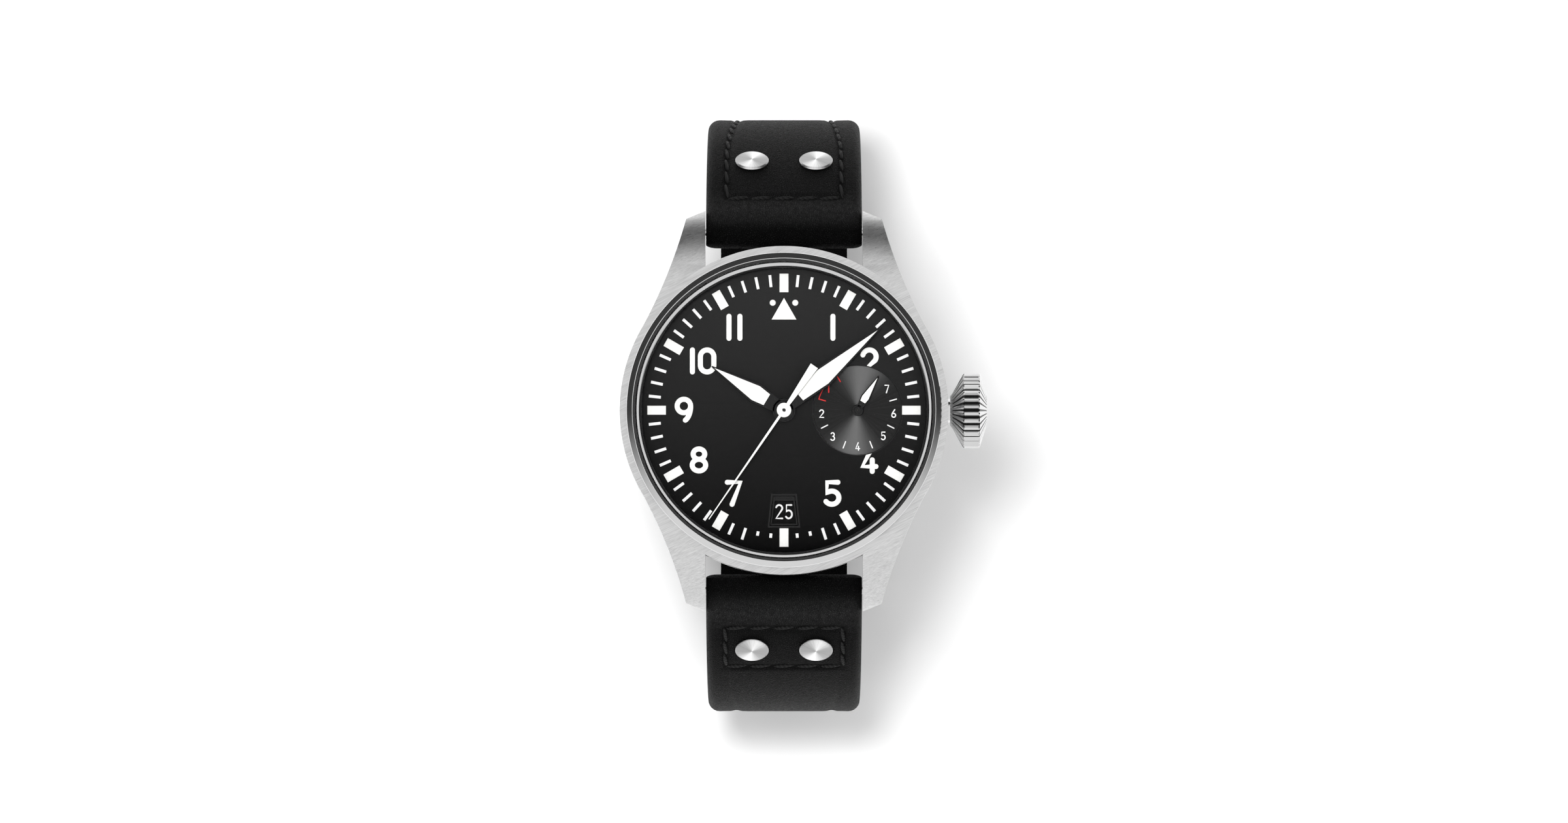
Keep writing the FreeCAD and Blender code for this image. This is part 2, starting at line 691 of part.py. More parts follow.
def plates():
    radius = value("plate_radius")
    gap = value("fit_gap")
    low, top = value("plate_bottom"), value("plate_top")
    rim = value("bridge_top")
    pivot = value("pivot_radius") + gap
    places = {
        "third": polar("third_distance", "third_angle"),
        "escape": polar("escape_distance", "270"),
        "pallet": polar("pallet_distance", "270"),
        "balance": polar("balance_distance", "270"),
        "barrel": polar("barrel_distance", "barrel_angle"),
    }
    plate = disc(radius, rim, top).cut(disc(radius - value("rim_wall"), rim - 1, low))
    plate = plate.cut(disc(7.3, low - 0.1, 8.9, *places["barrel"]))
    plate = plate.cut(disc(value("minute_tube") + gap, low - 1, top + 1))
    for name in ("third", "escape", "pallet", "balance"):
        reach = 0.3 + gap if name == "balance" else pivot
        plate = plate.cut(disc(reach, low - 1, low + 0.7, *places[name]))
    plate = plate.cut(rod(0.7, low - 1, top - 0.1, *places["barrel"]))
    plate = plate.cut(disc(0.25 + gap, top - 0.9, top + 1, *polar("minute_wheel_distance", "minute_wheel_angle")))
    plate = plate.cut(disc(value("second_arbor") + gap, top - 0.9, top + 1, value("reserve_reach"), 0))
    seat = disc(radius, top, 9.5).cut(disc(radius - 1.9, top - 1, 10))
    plate = plate.fuse(seat)
    stem = stem_hole(0.9, radius - 6)
    keep(solid("main_plate", plate.cut(stem).removeSplitter()))

    bottom = value("bridge_bottom")
    bridge = disc(radius, bottom, rim)
    bridge = bridge.fuse(disc(1.0, 2.65, bottom))
    bridge = bridge.cut(disc(5.3, bottom - 1, rim + 1, *places["balance"]))
    bridge = bridge.cut(Part.makeBox(4.4, 9, 3, FreeCAD.Vector(-2.2, -20, bottom - 1)))
    bridge = bridge.cut(disc(pivot, rim - 0.6, rim + 1))
    for name in ("third", "escape"):
        bridge = bridge.cut(disc(pivot, rim - 0.6, rim + 1, *places[name]))
    bridge = bridge.cut(disc(pivot, rim - 0.6, rim + 1, *places["pallet"]))
    keep(solid("train_bridge", bridge.removeSplitter()))

    x, y = places["balance"]
    cock = disc(1.5, bottom, rim, x, y)
    arm = Part.makeBox(4.0, radius + y - 0.5, rim - bottom, FreeCAD.Vector(-2.0, -radius + 0.5, bottom))
    cock = cock.fuse(arm).common(disc(radius, bottom, rim))
    cock = cock.cut(disc(pivot, rim - 0.6, rim + 1, x, y))
    keep(solid("balance_cock", cock.removeSplitter()))


def rotor():
    radius = value("rotor_radius")
    web = disc(radius, 2.9, 3.3)
    rim = disc(radius, 2.55, 3.8).cut(disc(radius - 3.2, 2, 5))
    half = Part.makeBox(4 * radius, 2 * radius, 4, FreeCAD.Vector(-2 * radius, 1.5, 1))
    window = disc(radius - 4.2, 2, 5).cut(disc(4.6, 2, 5)).cut(
        Part.makeBox(3.2, radius, 4, FreeCAD.Vector(-1.6, 0, 2)))
    weight = web.fuse(rim).common(half).cut(window)
    hub = disc(2.6, 2.65, 3.9)
    rotor_shape = joined(weight, hub, disc(4.8, 2.9, 3.3)).cut(disc(value("fit_gap") + 1.0, 2, 5))
    keep(solid("rotor", rotor_shape))


def movement_holder():
    radius, wall = value("cage_radius"), value("cage_wall")
    floor, top = value("back_boss") + 0.4, value("plate_top")
    stem = stem_hole(1.1, radius - 4)
    cage = disc(radius, floor, top).cut(disc(radius - wall, floor + wall / 2, top))
    keep(solid("soft_iron_cage", cage.cut(stem)))
    low, high = value("bridge_bottom"), top - 0.2
    holder = disc(radius - wall, low, high).cut(disc(value("plate_radius") + 0.02, low, high))
    keep(solid("movement_ring", holder.cut(stem)))


# Crown

def fluted_ring(radius, x, flutes=30):
    """One cross-section of the crown: rounded ribs with a notch between each two."""
    points = []
    for flute in range(flutes):
        for place, reach in ((0.0, 1.0 - value("flute_depth")), (0.28, 1.0), (0.72, 1.0)):
            turn = 2 * math.pi * (flute + place) / flutes
            points.append(FreeCAD.Vector(x, reach * radius * math.cos(turn), reach * radius * math.sin(turn)))
    return points


def crown():
    stations = (("case_radius + crown_gap", "crown_neck"), ("case_radius + crown_shoulder", "crown_radius"),
                ("case_radius + crown_rim", "crown_radius"), ("case_radius + crown_end", "crown_neck"))
    rings = [fluted_ring(value(radius), value(x)) for x, radius in stations]
    faces = [Part.Face(Part.makePolygon(ring + ring[:1])) for ring in (rings[0], rings[-1])]
    for near, far in zip(rings, rings[1:]):
        for index in range(len(near)):
            after = (index + 1) % len(near)
            corners = [near[index], near[after], far[after], far[index], near[index]]
            faces.append(Part.Face(Part.makePolygon(corners)))
    cone = Part.makeSolid(Part.makeShell(faces))
    if cone.Volume < 0:
        cone.reverse()
    along, start = FreeCAD.Vector(1, 0, 0), FreeCAD.Vector(value("case_radius + crown_gap") - 0.1, 0, 0)
    socket = Part.makeCylinder(value("tube_radius + fit_gap"), 2.2, start, along)
    feature = solid("crown", cone.cut(socket))
    feature.Placement = FreeCAD.Placement(FreeCAD.Vector(0, 0, value("crown_height")), FreeCAD.Rotation())
    keep(feature)

    stem = new_body("winding_stem")
    turned(stem, [[
        ("0", "stem_inner"),
        ("stem_radius - 0.15", "stem_inner"),
        ("stem_radius - 0.15", "stem_inner + 1.0"),
        ("stem_radius", "stem_inner + 1.2"),
        ("stem_radius", "case_radius + crown_gap + 2.1"),
        ("0", "case_radius + crown_gap + 2.1"),
    ]])
    stem.Placement = FreeCAD.Placement(
        FreeCAD.Vector(0, 0, value("crown_height")), FreeCAD.Rotation(FreeCAD.Vector(0, 1, 0), 90))
    tube = new_body("crown_tube")
    turned(tube, [[
        ("stem_radius + fit_gap", "case_bore + 0.2"),
        ("tube_radius", "case_bore + 0.2"),
        ("tube_radius", "case_radius + crown_gap + 1.7"),
        ("stem_radius + fit_gap", "case_radius + crown_gap + 1.7"),
    ]])
    tube.Placement = stem.Placement
    pinion = toothed(0.84, 14, 0, 1.8).cut(disc(value("stem_radius + fit_gap"), -1, 3))
    feature = solid("winding_pinion", pinion)
    feature.Placement = FreeCAD.Placement(
        FreeCAD.Vector(value("stem_inner") + 3.4, 0, value("crown_height")),
        FreeCAD.Rotation(FreeCAD.Vector(0, 1, 0), 90))
    keep(stem, tube, feature)


# Strap

TOP_CENTRE = "(bar_height - sqrt((top_bend - roll_radius)^2 - bar_reach^2))"
BOTTOM_CENTRE = f"({TOP_CENTRE} + sqrt((bottom_bend - corner_bend)^2 - (top_bend - corner_bend)^2))"


def on_bottom(inset, angle, sign=""):
    """A point on the bottom bend, inset from its outer face, at an angle from straight down."""
    radius = f"(bottom_bend - ({inset}))"
    return f"{sign}{radius} * sin({angle})", f"{BOTTOM_CENTRE} - {radius} * cos({angle})"


def strap_half(label, end_angle, turn):
    body = new_body(label)
    reach = "(top_bend - roll_radius)"
    side, up = f"(bar_reach / {reach})", f"((bar_height - {TOP_CENTRE}) / {reach})"
    corner = "((top_bend - corner_bend) / (bottom_bend - corner_bend))"
    fall = f"sqrt(1 - {corner}^2)"
    inner = "(top_bend - 2 * roll_radius)"
    end_out = on_bottom("0", end_angle)
    end_in = on_bottom("strap_end", end_angle)
    thin = "(bottom_bend - strap_end)"
    centre = on_bottom("strap_end / 2", end_angle)
    tip = (f"{centre[0]} - strap_end / 2 * cos({end_angle})", f"{centre[1]} - strap_end / 2 * sin({end_angle})")
    raised(body, "strap_width", "YZ_Plane", both=True, outlines=[[
        (f"{inner} * {side}", f"{TOP_CENTRE} + {inner} * {up}", "top_bend - strap_side + 0.5"),
        (f"bar_reach - roll_radius * {up}", f"bar_height + roll_radius * {side}", "-roll_radius"),
        (f"top_bend * {side}", f"{TOP_CENTRE} + top_bend * {up}", "-roll_radius"),
        ("top_bend", TOP_CENTRE, "-top_bend"),
        (f"bottom_bend * {corner}", f"{BOTTOM_CENTRE} - bottom_bend * {fall}", "-corner_bend"),
        (end_out[0], end_out[1], "-bottom_bend"),
        (tip[0], tip[1], "-(strap_end / 2)"),
        (end_in[0], end_in[1], "-(strap_end / 2)"),
        (f"{thin} * {corner}", f"{BOTTOM_CENTRE} - {thin} * {fall}", thin),
        ("top_bend - strap_side", TOP_CENTRE, "corner_bend - strap_side + 1"),
    ]])
    trims = []
    for sign in ("", "-"):
        bend = "-" if sign == "" else ""
        trims.append([
            (f"{sign}(strap_width / 2)", "-14"),
            (f"{sign}(strap_end_width / 2)", "-49", f"{bend}323"),
            (f"{sign}(strap_end_width / 2)", "-62"),
            (f"{sign}(strap_width / 2 + 3)", "-62"),
            (f"{sign}(strap_width / 2 + 3)", "-14"),
        ])
    sunk(body, "140", "XZ_Plane", outlines=trims, both=True)
    sunk(body, "30", "YZ_Plane", both=True, rings=[("bar_radius + 2 * fit_gap", "bar_reach", "bar_height")])
    sunk(body, "30", "YZ_Plane", both=True, rings=[("pin_radius + fit_gap", centre[0], centre[1])])
    body.Placement = FreeCAD.Placement(FreeCAD.Vector(), FreeCAD.Rotation(FreeCAD.Vector(0, 0, 1), turn))
    keep(body)


def rivets(label, reach, turn):
    radius, height = value("rivet_radius"), value("rivet_height")
    bend = value("top_bend")
    lean = math.asin(value(reach) / bend)
    heads = []
    for side in (-1, 1):
        head = Part.makeCylinder(radius, height)
        edges = [edge for edge in head.Edges if abs(edge.BoundBox.ZMin - height) < 1e-6]
        head = head.makeChamfer(0.2, edges)
        spot = FreeCAD.Vector(side * value("rivet_spacing") / 2, bend * math.sin(lean),
                              value(TOP_CENTRE) + bend * math.cos(lean))
        head.Placement = FreeCAD.Placement(spot, FreeCAD.Rotation(FreeCAD.Vector(1, 0, 0), -math.degrees(lean)))
        heads.append(head)
    feature = solid(label, Part.makeCompound(heads))
    feature.Placement = FreeCAD.Placement(FreeCAD.Vector(), FreeCAD.Rotation(FreeCAD.Vector(0, 0, 1), turn))
    keep(feature)


def spring_bars():
    half = value("lug_gap") / 2
    for label, side in (("spring_bar_12", 1), ("spring_bar_6", -1)):
        bar = disc(value("bar_tip_radius"), -half - 1.0, half + 1.0)
        bar = joined(bar, disc(value("bar_radius"), 0.3 - half, half - 0.3))
        feature = solid(label, bar)
        spot = FreeCAD.Vector(0, side * value("bar_reach"), value("bar_height"))
        feature.Placement = FreeCAD.Placement(spot, FreeCAD.Rotation(FreeCAD.Vector(0, 1, 0), 90))
        keep(feature)


# Folding clasp

def band(outer_inset, inner_inset, start, stop):
    """The side view of a leaf bent on the bottom bend, from one angle to another."""
    outer = f"(bottom_bend - ({outer_inset}))"
    inner = f"(bottom_bend - ({inner_inset}))"
    first, second = on_bottom(outer_inset, start), on_bottom(outer_inset, stop)
    third, fourth = on_bottom(inner_inset, stop), on_bottom(inner_inset, start)
    return [(*first,), (*second, outer), (*third,), (*fourth, f"-{inner}")]


def both_sides(body, outlines, rings, inner, outer, cut=False):
    """Pad or cut the same side view on the left and on the right of the clasp."""
    for sign in ("", "-"):
        lift = f"({inner})" if sign == "" else f"-({outer})"
        make = sunk if cut else raised
        feature = make(body, f"({outer}) - ({inner})", "YZ_Plane", outlines=outlines, rings=rings, lift=lift)
        if cut:
            feature.Reversed = True


FIRST_PIN = "(cover_wall + leaf_space + 0.2)"
SECOND_PIN = "(cover_wall + 2 * leaf_space + leaf_wall + 0.1)"
END_BAR = "(strap_end / 2)"
LEAF_OUT = "(cover_wall + leaf_space)"
BASE_OUT = "(cover_wall + 2 * leaf_space + leaf_wall)"


def clasp():
    cheek = "(leaf_width / 2 + 0.4)"
    edge = "(clasp_width / 2)"
    ear = "(strap_end_width / 2 + 0.1)"
    first = on_bottom(FIRST_PIN, "-first_pin_angle")
    second = on_bottom(SECOND_PIN, "second_pin_angle")
    upper = on_bottom(END_BAR, "bar_upper_angle")
    lower = on_bottom(END_BAR, "-bar_lower_angle")

    cover = new_body("clasp_cover")
    raised(cover, "clasp_width", "YZ_Plane", both=True,
           outlines=[band("0", "cover_wall", "-(first_pin_angle - 1.3)", "bar_upper_angle - 2")])
    both_sides(cover, [band("0", "cover_wall", "-first_pin_angle", "-(first_pin_angle - 2)")],
               [], cheek, edge)
    both_sides(cover, [], [("knuckle_radius + 0.1", *first)], cheek, edge)
    both_sides(cover, [band("0.2", "strap_end / 2 - 0.05", "bar_upper_angle - 3", "bar_upper_angle + 1")],
               [], ear, edge)
    both_sides(cover, [band("cover_wall - 0.1", f"{BASE_OUT} - 0.3", "-4", "4")], [], "(clasp_width / 2 - 1)", edge)
    both_sides(cover, [], [("pin_radius + 0.15", *upper)], ear, edge, True)
    both_sides(cover, [], [("pin_radius", *first)], cheek, edge, True)
    both_sides(cover, [band("cover_wall + 0.25", "cover_wall + 1.35", "-1.5", "1.5")], [],
               "(clasp_width / 2 - 2)", "(clasp_width / 2 + 1)", True)

    middle = new_body("clasp_middle_leaf")
    raised(middle, "leaf_width", "YZ_Plane", both=True,
           outlines=[band(LEAF_OUT, f"{LEAF_OUT} + leaf_wall", "-first_pin_angle", "second_pin_angle")])
    for spot in (first, second):
        raised(middle, "leaf_width", "YZ_Plane", both=True, rings=[("knuckle_radius", *spot)])
    for spot in (first, second):
        sunk(middle, "30", "YZ_Plane", both=True, rings=[("pin_radius + fit_gap", *spot)])

    base = new_body("clasp_base_leaf")
    raised(base, "clasp_width", "YZ_Plane", both=True,
           outlines=[band(BASE_OUT, f"{BASE_OUT} + leaf_wall", "-(bar_lower_angle - 0.8)", "second_pin_angle - 1.3")])
    both_sides(base, [band(BASE_OUT, f"{BASE_OUT} + leaf_wall", "second_pin_angle - 2", "second_pin_angle")],
               [], cheek, edge)
    both_sides(base, [], [("knuckle_radius + 0.05", *second)], cheek, edge)
    both_sides(base, [band("0.4", f"{BASE_OUT} + 0.5", "-(bar_lower_angle + 1)", "-(bar_lower_angle - 1.7)")],
               [], ear, edge)
    both_sides(base, [], [("pin_radius", *second)], cheek, edge, True)
    both_sides(base, [], [("pin_radius", *lower)], ear, edge, True)
    keep(cover, middle, base)

    for label, spot in (("hinge_pin_first", first), ("hinge_pin_second", second),
                        ("strap_bar_upper", upper), ("strap_bar_lower", lower)):
        pin = new_body(label)
        raised(pin, "clasp_width - 0.2", "YZ_Plane", both=True, rings=[("pin_radius", *spot)])
        keep(pin)

    for label, sign in (("pusher_right", ""), ("pusher_left", "-")):
        pusher = new_body(label)
        shank = band("cover_wall + 0.3", "cover_wall + 1.3", "-1.44", "1.44")
        collar = band("cover_wall + 0.15", "cover_wall + 1.45", "-2.1", "2.1")
        near, far = "(clasp_width / 2 - 1.5)", "(clasp_width / 2 + 0.9)"
        rest = "(clasp_width / 2 - 1.05)"
        if sign:
            raised(pusher, f"{far} - {near}", "YZ_Plane", outlines=[shank], lift=f"-{far}")
            raised(pusher, f"{rest} - {near}", "YZ_Plane", outlines=[collar], lift=f"-{rest}")
        else:
            raised(pusher, f"{far} - {near}", "YZ_Plane", outlines=[shank], lift=near)
            raised(pusher, f"{rest} - {near}", "YZ_Plane", outlines=[collar], lift=near)
        keep(pusher)


case_middle()
case_back()
bezel_and_crystal()
dial()
hour_markers()
hands()
going_train()
escapement()
motion_work()
date_disc()
plates()
rotor()
movement_holder()
crown()
spring_bars()
strap_half("strap_12", "bar_upper_angle", 0)
strap_half("strap_6", "bar_lower_angle", 180)
rivets("rivets_12", "rivet_reach_upper", 0)
rivets("rivets_6", "rivet_reach_lower", 180)
clasp()
doc.recompute()

for item in doc.Objects:
    if "Invalid" in item.State or "Error" in item.State:
        raise RuntimeError(f"{item.Label} failed: {item.State} {item.getStatusString()}")
broken = [piece.Label for piece in KEPT if piece.Shape.isNull() or not piece.Shape.isValid()]
if broken:
    raise RuntimeError(f"no valid shape: {broken}")

os.makedirs("parts", exist_ok=True)
for piece in KEPT:
    piece.Shape.exportStep(f"parts/{piece.Label}.step")
    print(piece.Label, len(piece.Shape.Solids), round(piece.Shape.Volume, 3))
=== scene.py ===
import bpy
import math
from mathutils import Matrix, Vector


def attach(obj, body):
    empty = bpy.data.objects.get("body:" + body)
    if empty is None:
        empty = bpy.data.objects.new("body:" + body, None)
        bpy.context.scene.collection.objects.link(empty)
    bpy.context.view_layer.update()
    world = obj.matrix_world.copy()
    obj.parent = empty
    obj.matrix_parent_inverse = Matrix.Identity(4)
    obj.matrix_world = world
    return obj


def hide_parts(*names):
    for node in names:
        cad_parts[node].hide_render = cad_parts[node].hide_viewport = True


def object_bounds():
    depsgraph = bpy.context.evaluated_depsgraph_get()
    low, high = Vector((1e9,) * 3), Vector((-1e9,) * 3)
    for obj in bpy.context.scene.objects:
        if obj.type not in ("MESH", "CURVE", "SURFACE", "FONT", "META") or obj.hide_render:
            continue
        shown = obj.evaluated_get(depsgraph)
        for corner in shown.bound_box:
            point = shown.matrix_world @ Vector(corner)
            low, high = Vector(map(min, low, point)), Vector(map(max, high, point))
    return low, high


# A large steel pilot watch with a fluted conical crown and a riveted black strap.
# Sizes in the dictionaries are millimetres and degrees; the meshes are metres.

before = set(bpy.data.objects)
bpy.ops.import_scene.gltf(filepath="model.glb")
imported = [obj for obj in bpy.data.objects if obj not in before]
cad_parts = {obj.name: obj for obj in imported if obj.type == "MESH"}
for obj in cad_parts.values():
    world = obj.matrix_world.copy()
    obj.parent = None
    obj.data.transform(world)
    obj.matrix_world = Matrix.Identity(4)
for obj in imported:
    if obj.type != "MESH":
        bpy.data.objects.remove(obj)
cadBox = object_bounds()
mm = 0.001
print("stage: frame loaded")


# Modelling helpers

def clearSelection():
    if bpy.context.object and bpy.context.object.mode != "OBJECT":
        bpy.ops.object.mode_set(mode="OBJECT")
    bpy.ops.object.select_all(action="DESELECT")


def choose(*pieces):
    clearSelection()
    for piece in pieces:
        piece.select_set(True)
    bpy.context.view_layer.objects.active = pieces[0]


def joinPieces(pieces):
    choose(*pieces)
    bpy.ops.object.join()
    return bpy.context.object


def applyPlace(piece):
    choose(piece)
    bpy.ops.object.transform_apply(location=True, rotation=True, scale=True)
    return piece


def giveFinishes(piece, *names):
    for name in names:
        piece.data.materials.append(finishes[name]["material"])


def finishPiece(piece, name, finishName, body, replaced=(), smoothAngle=30):
    applyPlace(piece)
    bpy.ops.object.shade_smooth_by_angle(angle=math.radians(smoothAngle))
    piece.name = name
    piece.data.name = name
    if not piece.data.materials:
        giveFinishes(piece, finishName)
    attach(piece, body)
    if replaced:
        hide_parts(*replaced)


def closeShell(piece):
    choose(piece)
    bpy.ops.object.mode_set(mode="EDIT")
    bpy.ops.mesh.select_all(action="SELECT")
    bpy.ops.mesh.remove_doubles(threshold=0.000001)
    bpy.ops.mesh.normals_make_consistent(inside=False)
    bpy.ops.object.mode_set(mode="OBJECT")
    return piece


# A round piece from (radius, height) rings; a hollow one is bridged back to its first ring.
def turnRings(rings, sides=160, hollow=False):
    clearSelection()
    radius, height = rings[0]
    bpy.ops.mesh.primitive_circle_add(vertices=sides, radius=radius * mm, location=(0, 0, height * mm))
    piece = bpy.context.object
    bpy.ops.object.mode_set(mode="EDIT")
    bpy.ops.mesh.select_mode(type="EDGE")
    bpy.ops.mesh.select_all(action="SELECT")
    for nextRadius, nextHeight in rings[1:]:
        rise = (0, 0, (nextHeight - height) * mm)
        bpy.ops.mesh.extrude_edges_move(TRANSFORM_OT_translate={"value": rise})
        if nextRadius != radius:
            ratio = nextRadius / radius
            bpy.ops.transform.resize(value=(ratio, ratio, 1), center_override=(0, 0, 0))
        radius, height = nextRadius, nextHeight
    bpy.ops.mesh.select_all(action="DESELECT")
    bpy.ops.mesh.select_non_manifold()
    if hollow:
        bpy.ops.mesh.bridge_edge_loops()
    else:
        bpy.ops.mesh.fill_holes(sides=0)
    bpy.ops.object.mode_set(mode="OBJECT")
    return closeShell(applyPlace(piece))


def linkPiece(name, data):
    piece = bpy.data.objects.new(name, data)
    bpy.context.scene.collection.objects.link(piece)
    return piece


def addSpline(curve, points, closed):
    spline = curve.splines.new("POLY")
    spline.points.add(len(points) - 1)
    for point, (x, y) in zip(spline.points, points):
        point.co = (x * mm, y * mm, 0, 1)
    spline.use_cyclic_u = closed


def makeMesh(name, curve):
    choose(linkPiece(name, curve))
    bpy.ops.object.convert(target="MESH")
    return bpy.context.object


# A flat piece from closed outlines of (x, y) corners; inner outlines are holes.
def cutPlate(outlines, low, high, edge=0.0):
    curve = bpy.data.curves.new("plate", "CURVE")
    curve.dimensions = "2D"
    curve.fill_mode = "BOTH"
    curve.extrude = ((high - low) / 2 - edge) * mm
    curve.bevel_depth = edge * mm
    curve.bevel_resolution = 1
    curve.offset = -edge * mm
    for outline in outlines:
        addSpline(curve, outline, True)
    piece = makeMesh("plate", curve)
    piece.location = (0, 0, (low + high) / 2 * mm)
    return closeShell(applyPlace(piece))


def addBall(x, y, z, radius, segments, rings):
    clearSelection()
    bpy.ops.mesh.primitive_uv_sphere_add(segments=segments, ring_count=rings, radius=radius * mm,
                                         location=(x * mm, y * mm, z * mm))
    return bpy.context.object


# A painted stroke: a round tube along its points, with round ends, pressed flat.
def paintStroke(points, width, low, high, closed=False):
    curve = bpy.data.curves.new("stroke", "CURVE")
    curve.dimensions = "3D"
    curve.bevel_depth = width / 2 * mm
    curve.bevel_resolution = 3
    curve.use_fill_caps = not closed
    addSpline(curve, points, closed)
    parts = [makeMesh("stroke", curve)]
    for x, y in () if closed else (points[0], points[-1]):
        parts.append(addBall(x, y, 0, width / 2, 16, 8))
    for part in parts:
        applyPlace(part)
    whole = joinPieces(parts)
    whole.scale = (1, 1, (high - low) / width)
    whole.location = (0, 0, (low + high) / 2 * mm)
    return applyPlace(whole)


def circlePoints(x, y, radius, count=48):
    angles = [2 * math.pi * index / count for index in range(count)]
    return [(x + radius * math.cos(turn), y + radius * math.sin(turn)) for turn in angles]


def arcPoints(x, y, across, up, start, stop, count=16):
    angles = [math.radians(start + (stop - start) * index / count) for index in range(count + 1)]
    return [(x + across * math.cos(turn), y + up * math.sin(turn)) for turn in angles]


def combine(piece, other, operation, overlapping=False):
    change = piece.modifiers.new("combine", "BOOLEAN")
    change.operation = operation
    change.object = other
    change.solver = "EXACT"
    change.use_self = overlapping
    choose(piece)
    bpy.ops.object.modifier_apply(modifier="combine")
    bpy.data.objects.remove(other)
    return piece


# Finishes

class Socket:
    # A node's output that Python expressions can use.
    def __init__(self, tree, output):
        self.tree = tree
        self.output = output

    def __add__(self, other):
        return self.tree.math("ADD", self, other)

    def __mul__(self, other):
        return self.tree.math("MULTIPLY", self, other)

    def __sub__(self, other):
        return self.tree.math("SUBTRACT", self, other)

    def __rsub__(self, other):
        return self.tree.math("SUBTRACT", other, self)

    def __pow__(self, other):
        return self.tree.math("POWER", self, other)

    def __abs__(self):
        return self.tree.math("ABSOLUTE", self)

    __radd__ = __add__
    __rmul__ = __mul__


class NodeTree:
    # Adds nodes, each with its settings and with values or links at its sockets.
    def __init__(self, tree):
        self.nodes = tree.nodes
        self.links = tree.links

    def node(self, kind, settings=None, inputs=None, output=0):
        made = self.nodes.new(kind)
        for key, value in (settings or {}).items():
            setattr(made, key, value)
        for key, value in (inputs or {}).items():
            if isinstance(value, Socket):
                self.links.new(value.output, made.inputs[key])
            else:
                made.inputs[key].default_value = value
        return Socket(self, made.outputs[output])

    def math(self, operation, first, second=0.0):
        return self.node("ShaderNodeMath", {"operation": operation}, {0: first, 1: second})

    def blend(self, factor, first, second):
        colours = {0: factor, 6: first, 7: second}
        return self.node("ShaderNodeMix", {"data_type": "RGBA"}, colours, output=2)

    def parts(self, vector):
        split = self.node("ShaderNodeSeparateXYZ", {}, {0: vector}).output.node
        return [Socket(self, output) for output in split.outputs]


class Recipe(NodeTree):
    # One material: its fixed shader values, and the nodes that vary it.
    def __init__(self, name, slot, **fixed):
        self.material = bpy.data.materials.new(name)
        self.material.use_nodes = True
        super().__init__(self.material.node_tree)
        self.slot = slot
        self.shader = self.nodes["Principled BSDF"]
        for key, value in fixed.items():
            self.shader.inputs[key.replace("_", " ")].default_value = value

    def place(self, scale=(1, 1, 1), turn=(0, 0, 0), origin=(0, 0, 0), uv=False):
        source = self.node("ShaderNodeTexCoord", output="UV" if uv else "Object")
        moved = self.node("ShaderNodeMapping", {}, {0: source, 1: tuple(-value for value in origin)})
        turned = self.node("ShaderNodeMapping", {}, {0: moved, 2: turn})
        return self.node("ShaderNodeMapping", {}, {0: turned, 3: scale})

    def noise(self, where, scale, detail=2.0, roughness=0.5):
        inputs = {"Vector": where, "Scale": scale, "Detail": detail, "Roughness": roughness}
        return self.node("ShaderNodeTexNoise", {}, inputs)

    def feed(self, name, value):
        self.links.new(value.output, self.shader.inputs[name])

    def shade(self, share, dark, light):
        self.feed("Base Color", self.blend(share, grey(dark), grey(light)))

    def bump(self, height, strength, distance):
        inputs = {"Strength": strength, "Distance": distance, "Height": height}
        self.feed("Normal", self.node("ShaderNodeBump", {}, inputs))

    def done(self):
        return {"material": self.material, "slot": self.slot}


def grey(level):
    return (level, level, level, 1.0)


steelLook = {"colour": 0.62, "contrast": 0.32, "strokeTurn": -27, "stretch": (0.04, 1.0, 1.0),
             "broadScale": 3800.0, "fineScale": 11400.0, "broadShare": 0.4, "fineShare": 0.6,
             "brushedRoughness": 0.2, "brushedVary": 0.22, "bump": (0.35, 0.00002),
             "hazeScale": 260.0, "hazeColour": 0.06, "polishedRoughness": 0.05, "polishedVary": 0.05}


def brushedSteel():
    look = steelLook
    level, contrast = look["colour"], look["contrast"]
    recipe = Recipe("brushedSteel", "brushed_steel", Metallic=1.0)
    where = recipe.place(scale=look["stretch"], turn=(0, 0, math.radians(look["strokeTurn"])))
    fine = recipe.noise(where, look["fineScale"], detail=3.0)
    broad = recipe.noise(where, look["broadScale"])
    mixed = fine * look["fineShare"] + broad * look["broadShare"]
    recipe.shade(mixed, level - contrast, level + contrast)
    recipe.feed("Roughness", mixed * look["brushedVary"] + look["brushedRoughness"])
    recipe.bump(mixed, *look["bump"])
    return recipe.done()


def polishedSteel():
    look = steelLook
    recipe = Recipe("polishedSteel", "polished_steel", Metallic=1.0)
    haze = recipe.noise(recipe.place(), look["hazeScale"])
    recipe.shade(haze, look["colour"], look["colour"] + look["hazeColour"])
    recipe.feed("Roughness", haze * look["polishedVary"] + look["polishedRoughness"])
    return recipe.done()


# Marks that run out from the origin of a round face: fine rays, and two lobes of painted sheen where such
# rays would catch the light.
def roundBrushing(recipe, where, look):
    across, up, _ = recipe.parts(where)
    angle = recipe.math("ARCTAN2", up, across)
    around = recipe.node("ShaderNodeCombineXYZ", {}, {0: angle})
    rays = recipe.noise(around, look["rayScale"], detail=look["rayDetail"])
    paintedSheen = abs(recipe.math("SINE", angle + look["lobeTurn"])) ** look["lobePower"]
    return rays, rays * look["rayShare"] + paintedSheen * look["lobeShare"]


rivetLook = {"dark": 0.22, "light": 0.92, "roughness": 0.2, "rayScale": 9.0, "rayDetail": 5.0,
             "rayShare": 0.4, "lobeTurn": 0.3, "lobePower": 4, "lobeShare": 0.7}


def turnedSteel():
    look = rivetLook
    recipe = Recipe("turnedSteel", "brushed_steel", Metallic=1.0)
    rays, share = roundBrushing(recipe, recipe.place(uv=True), look)
    # The lobes are painted highlights: the base colour is lighter across the head where its turned rays
    # would catch the light.
    recipe.shade(share, look["dark"], look["light"])
    recipe.feed("Roughness", rays * look["roughness"] + look["roughness"])
    return recipe.done()


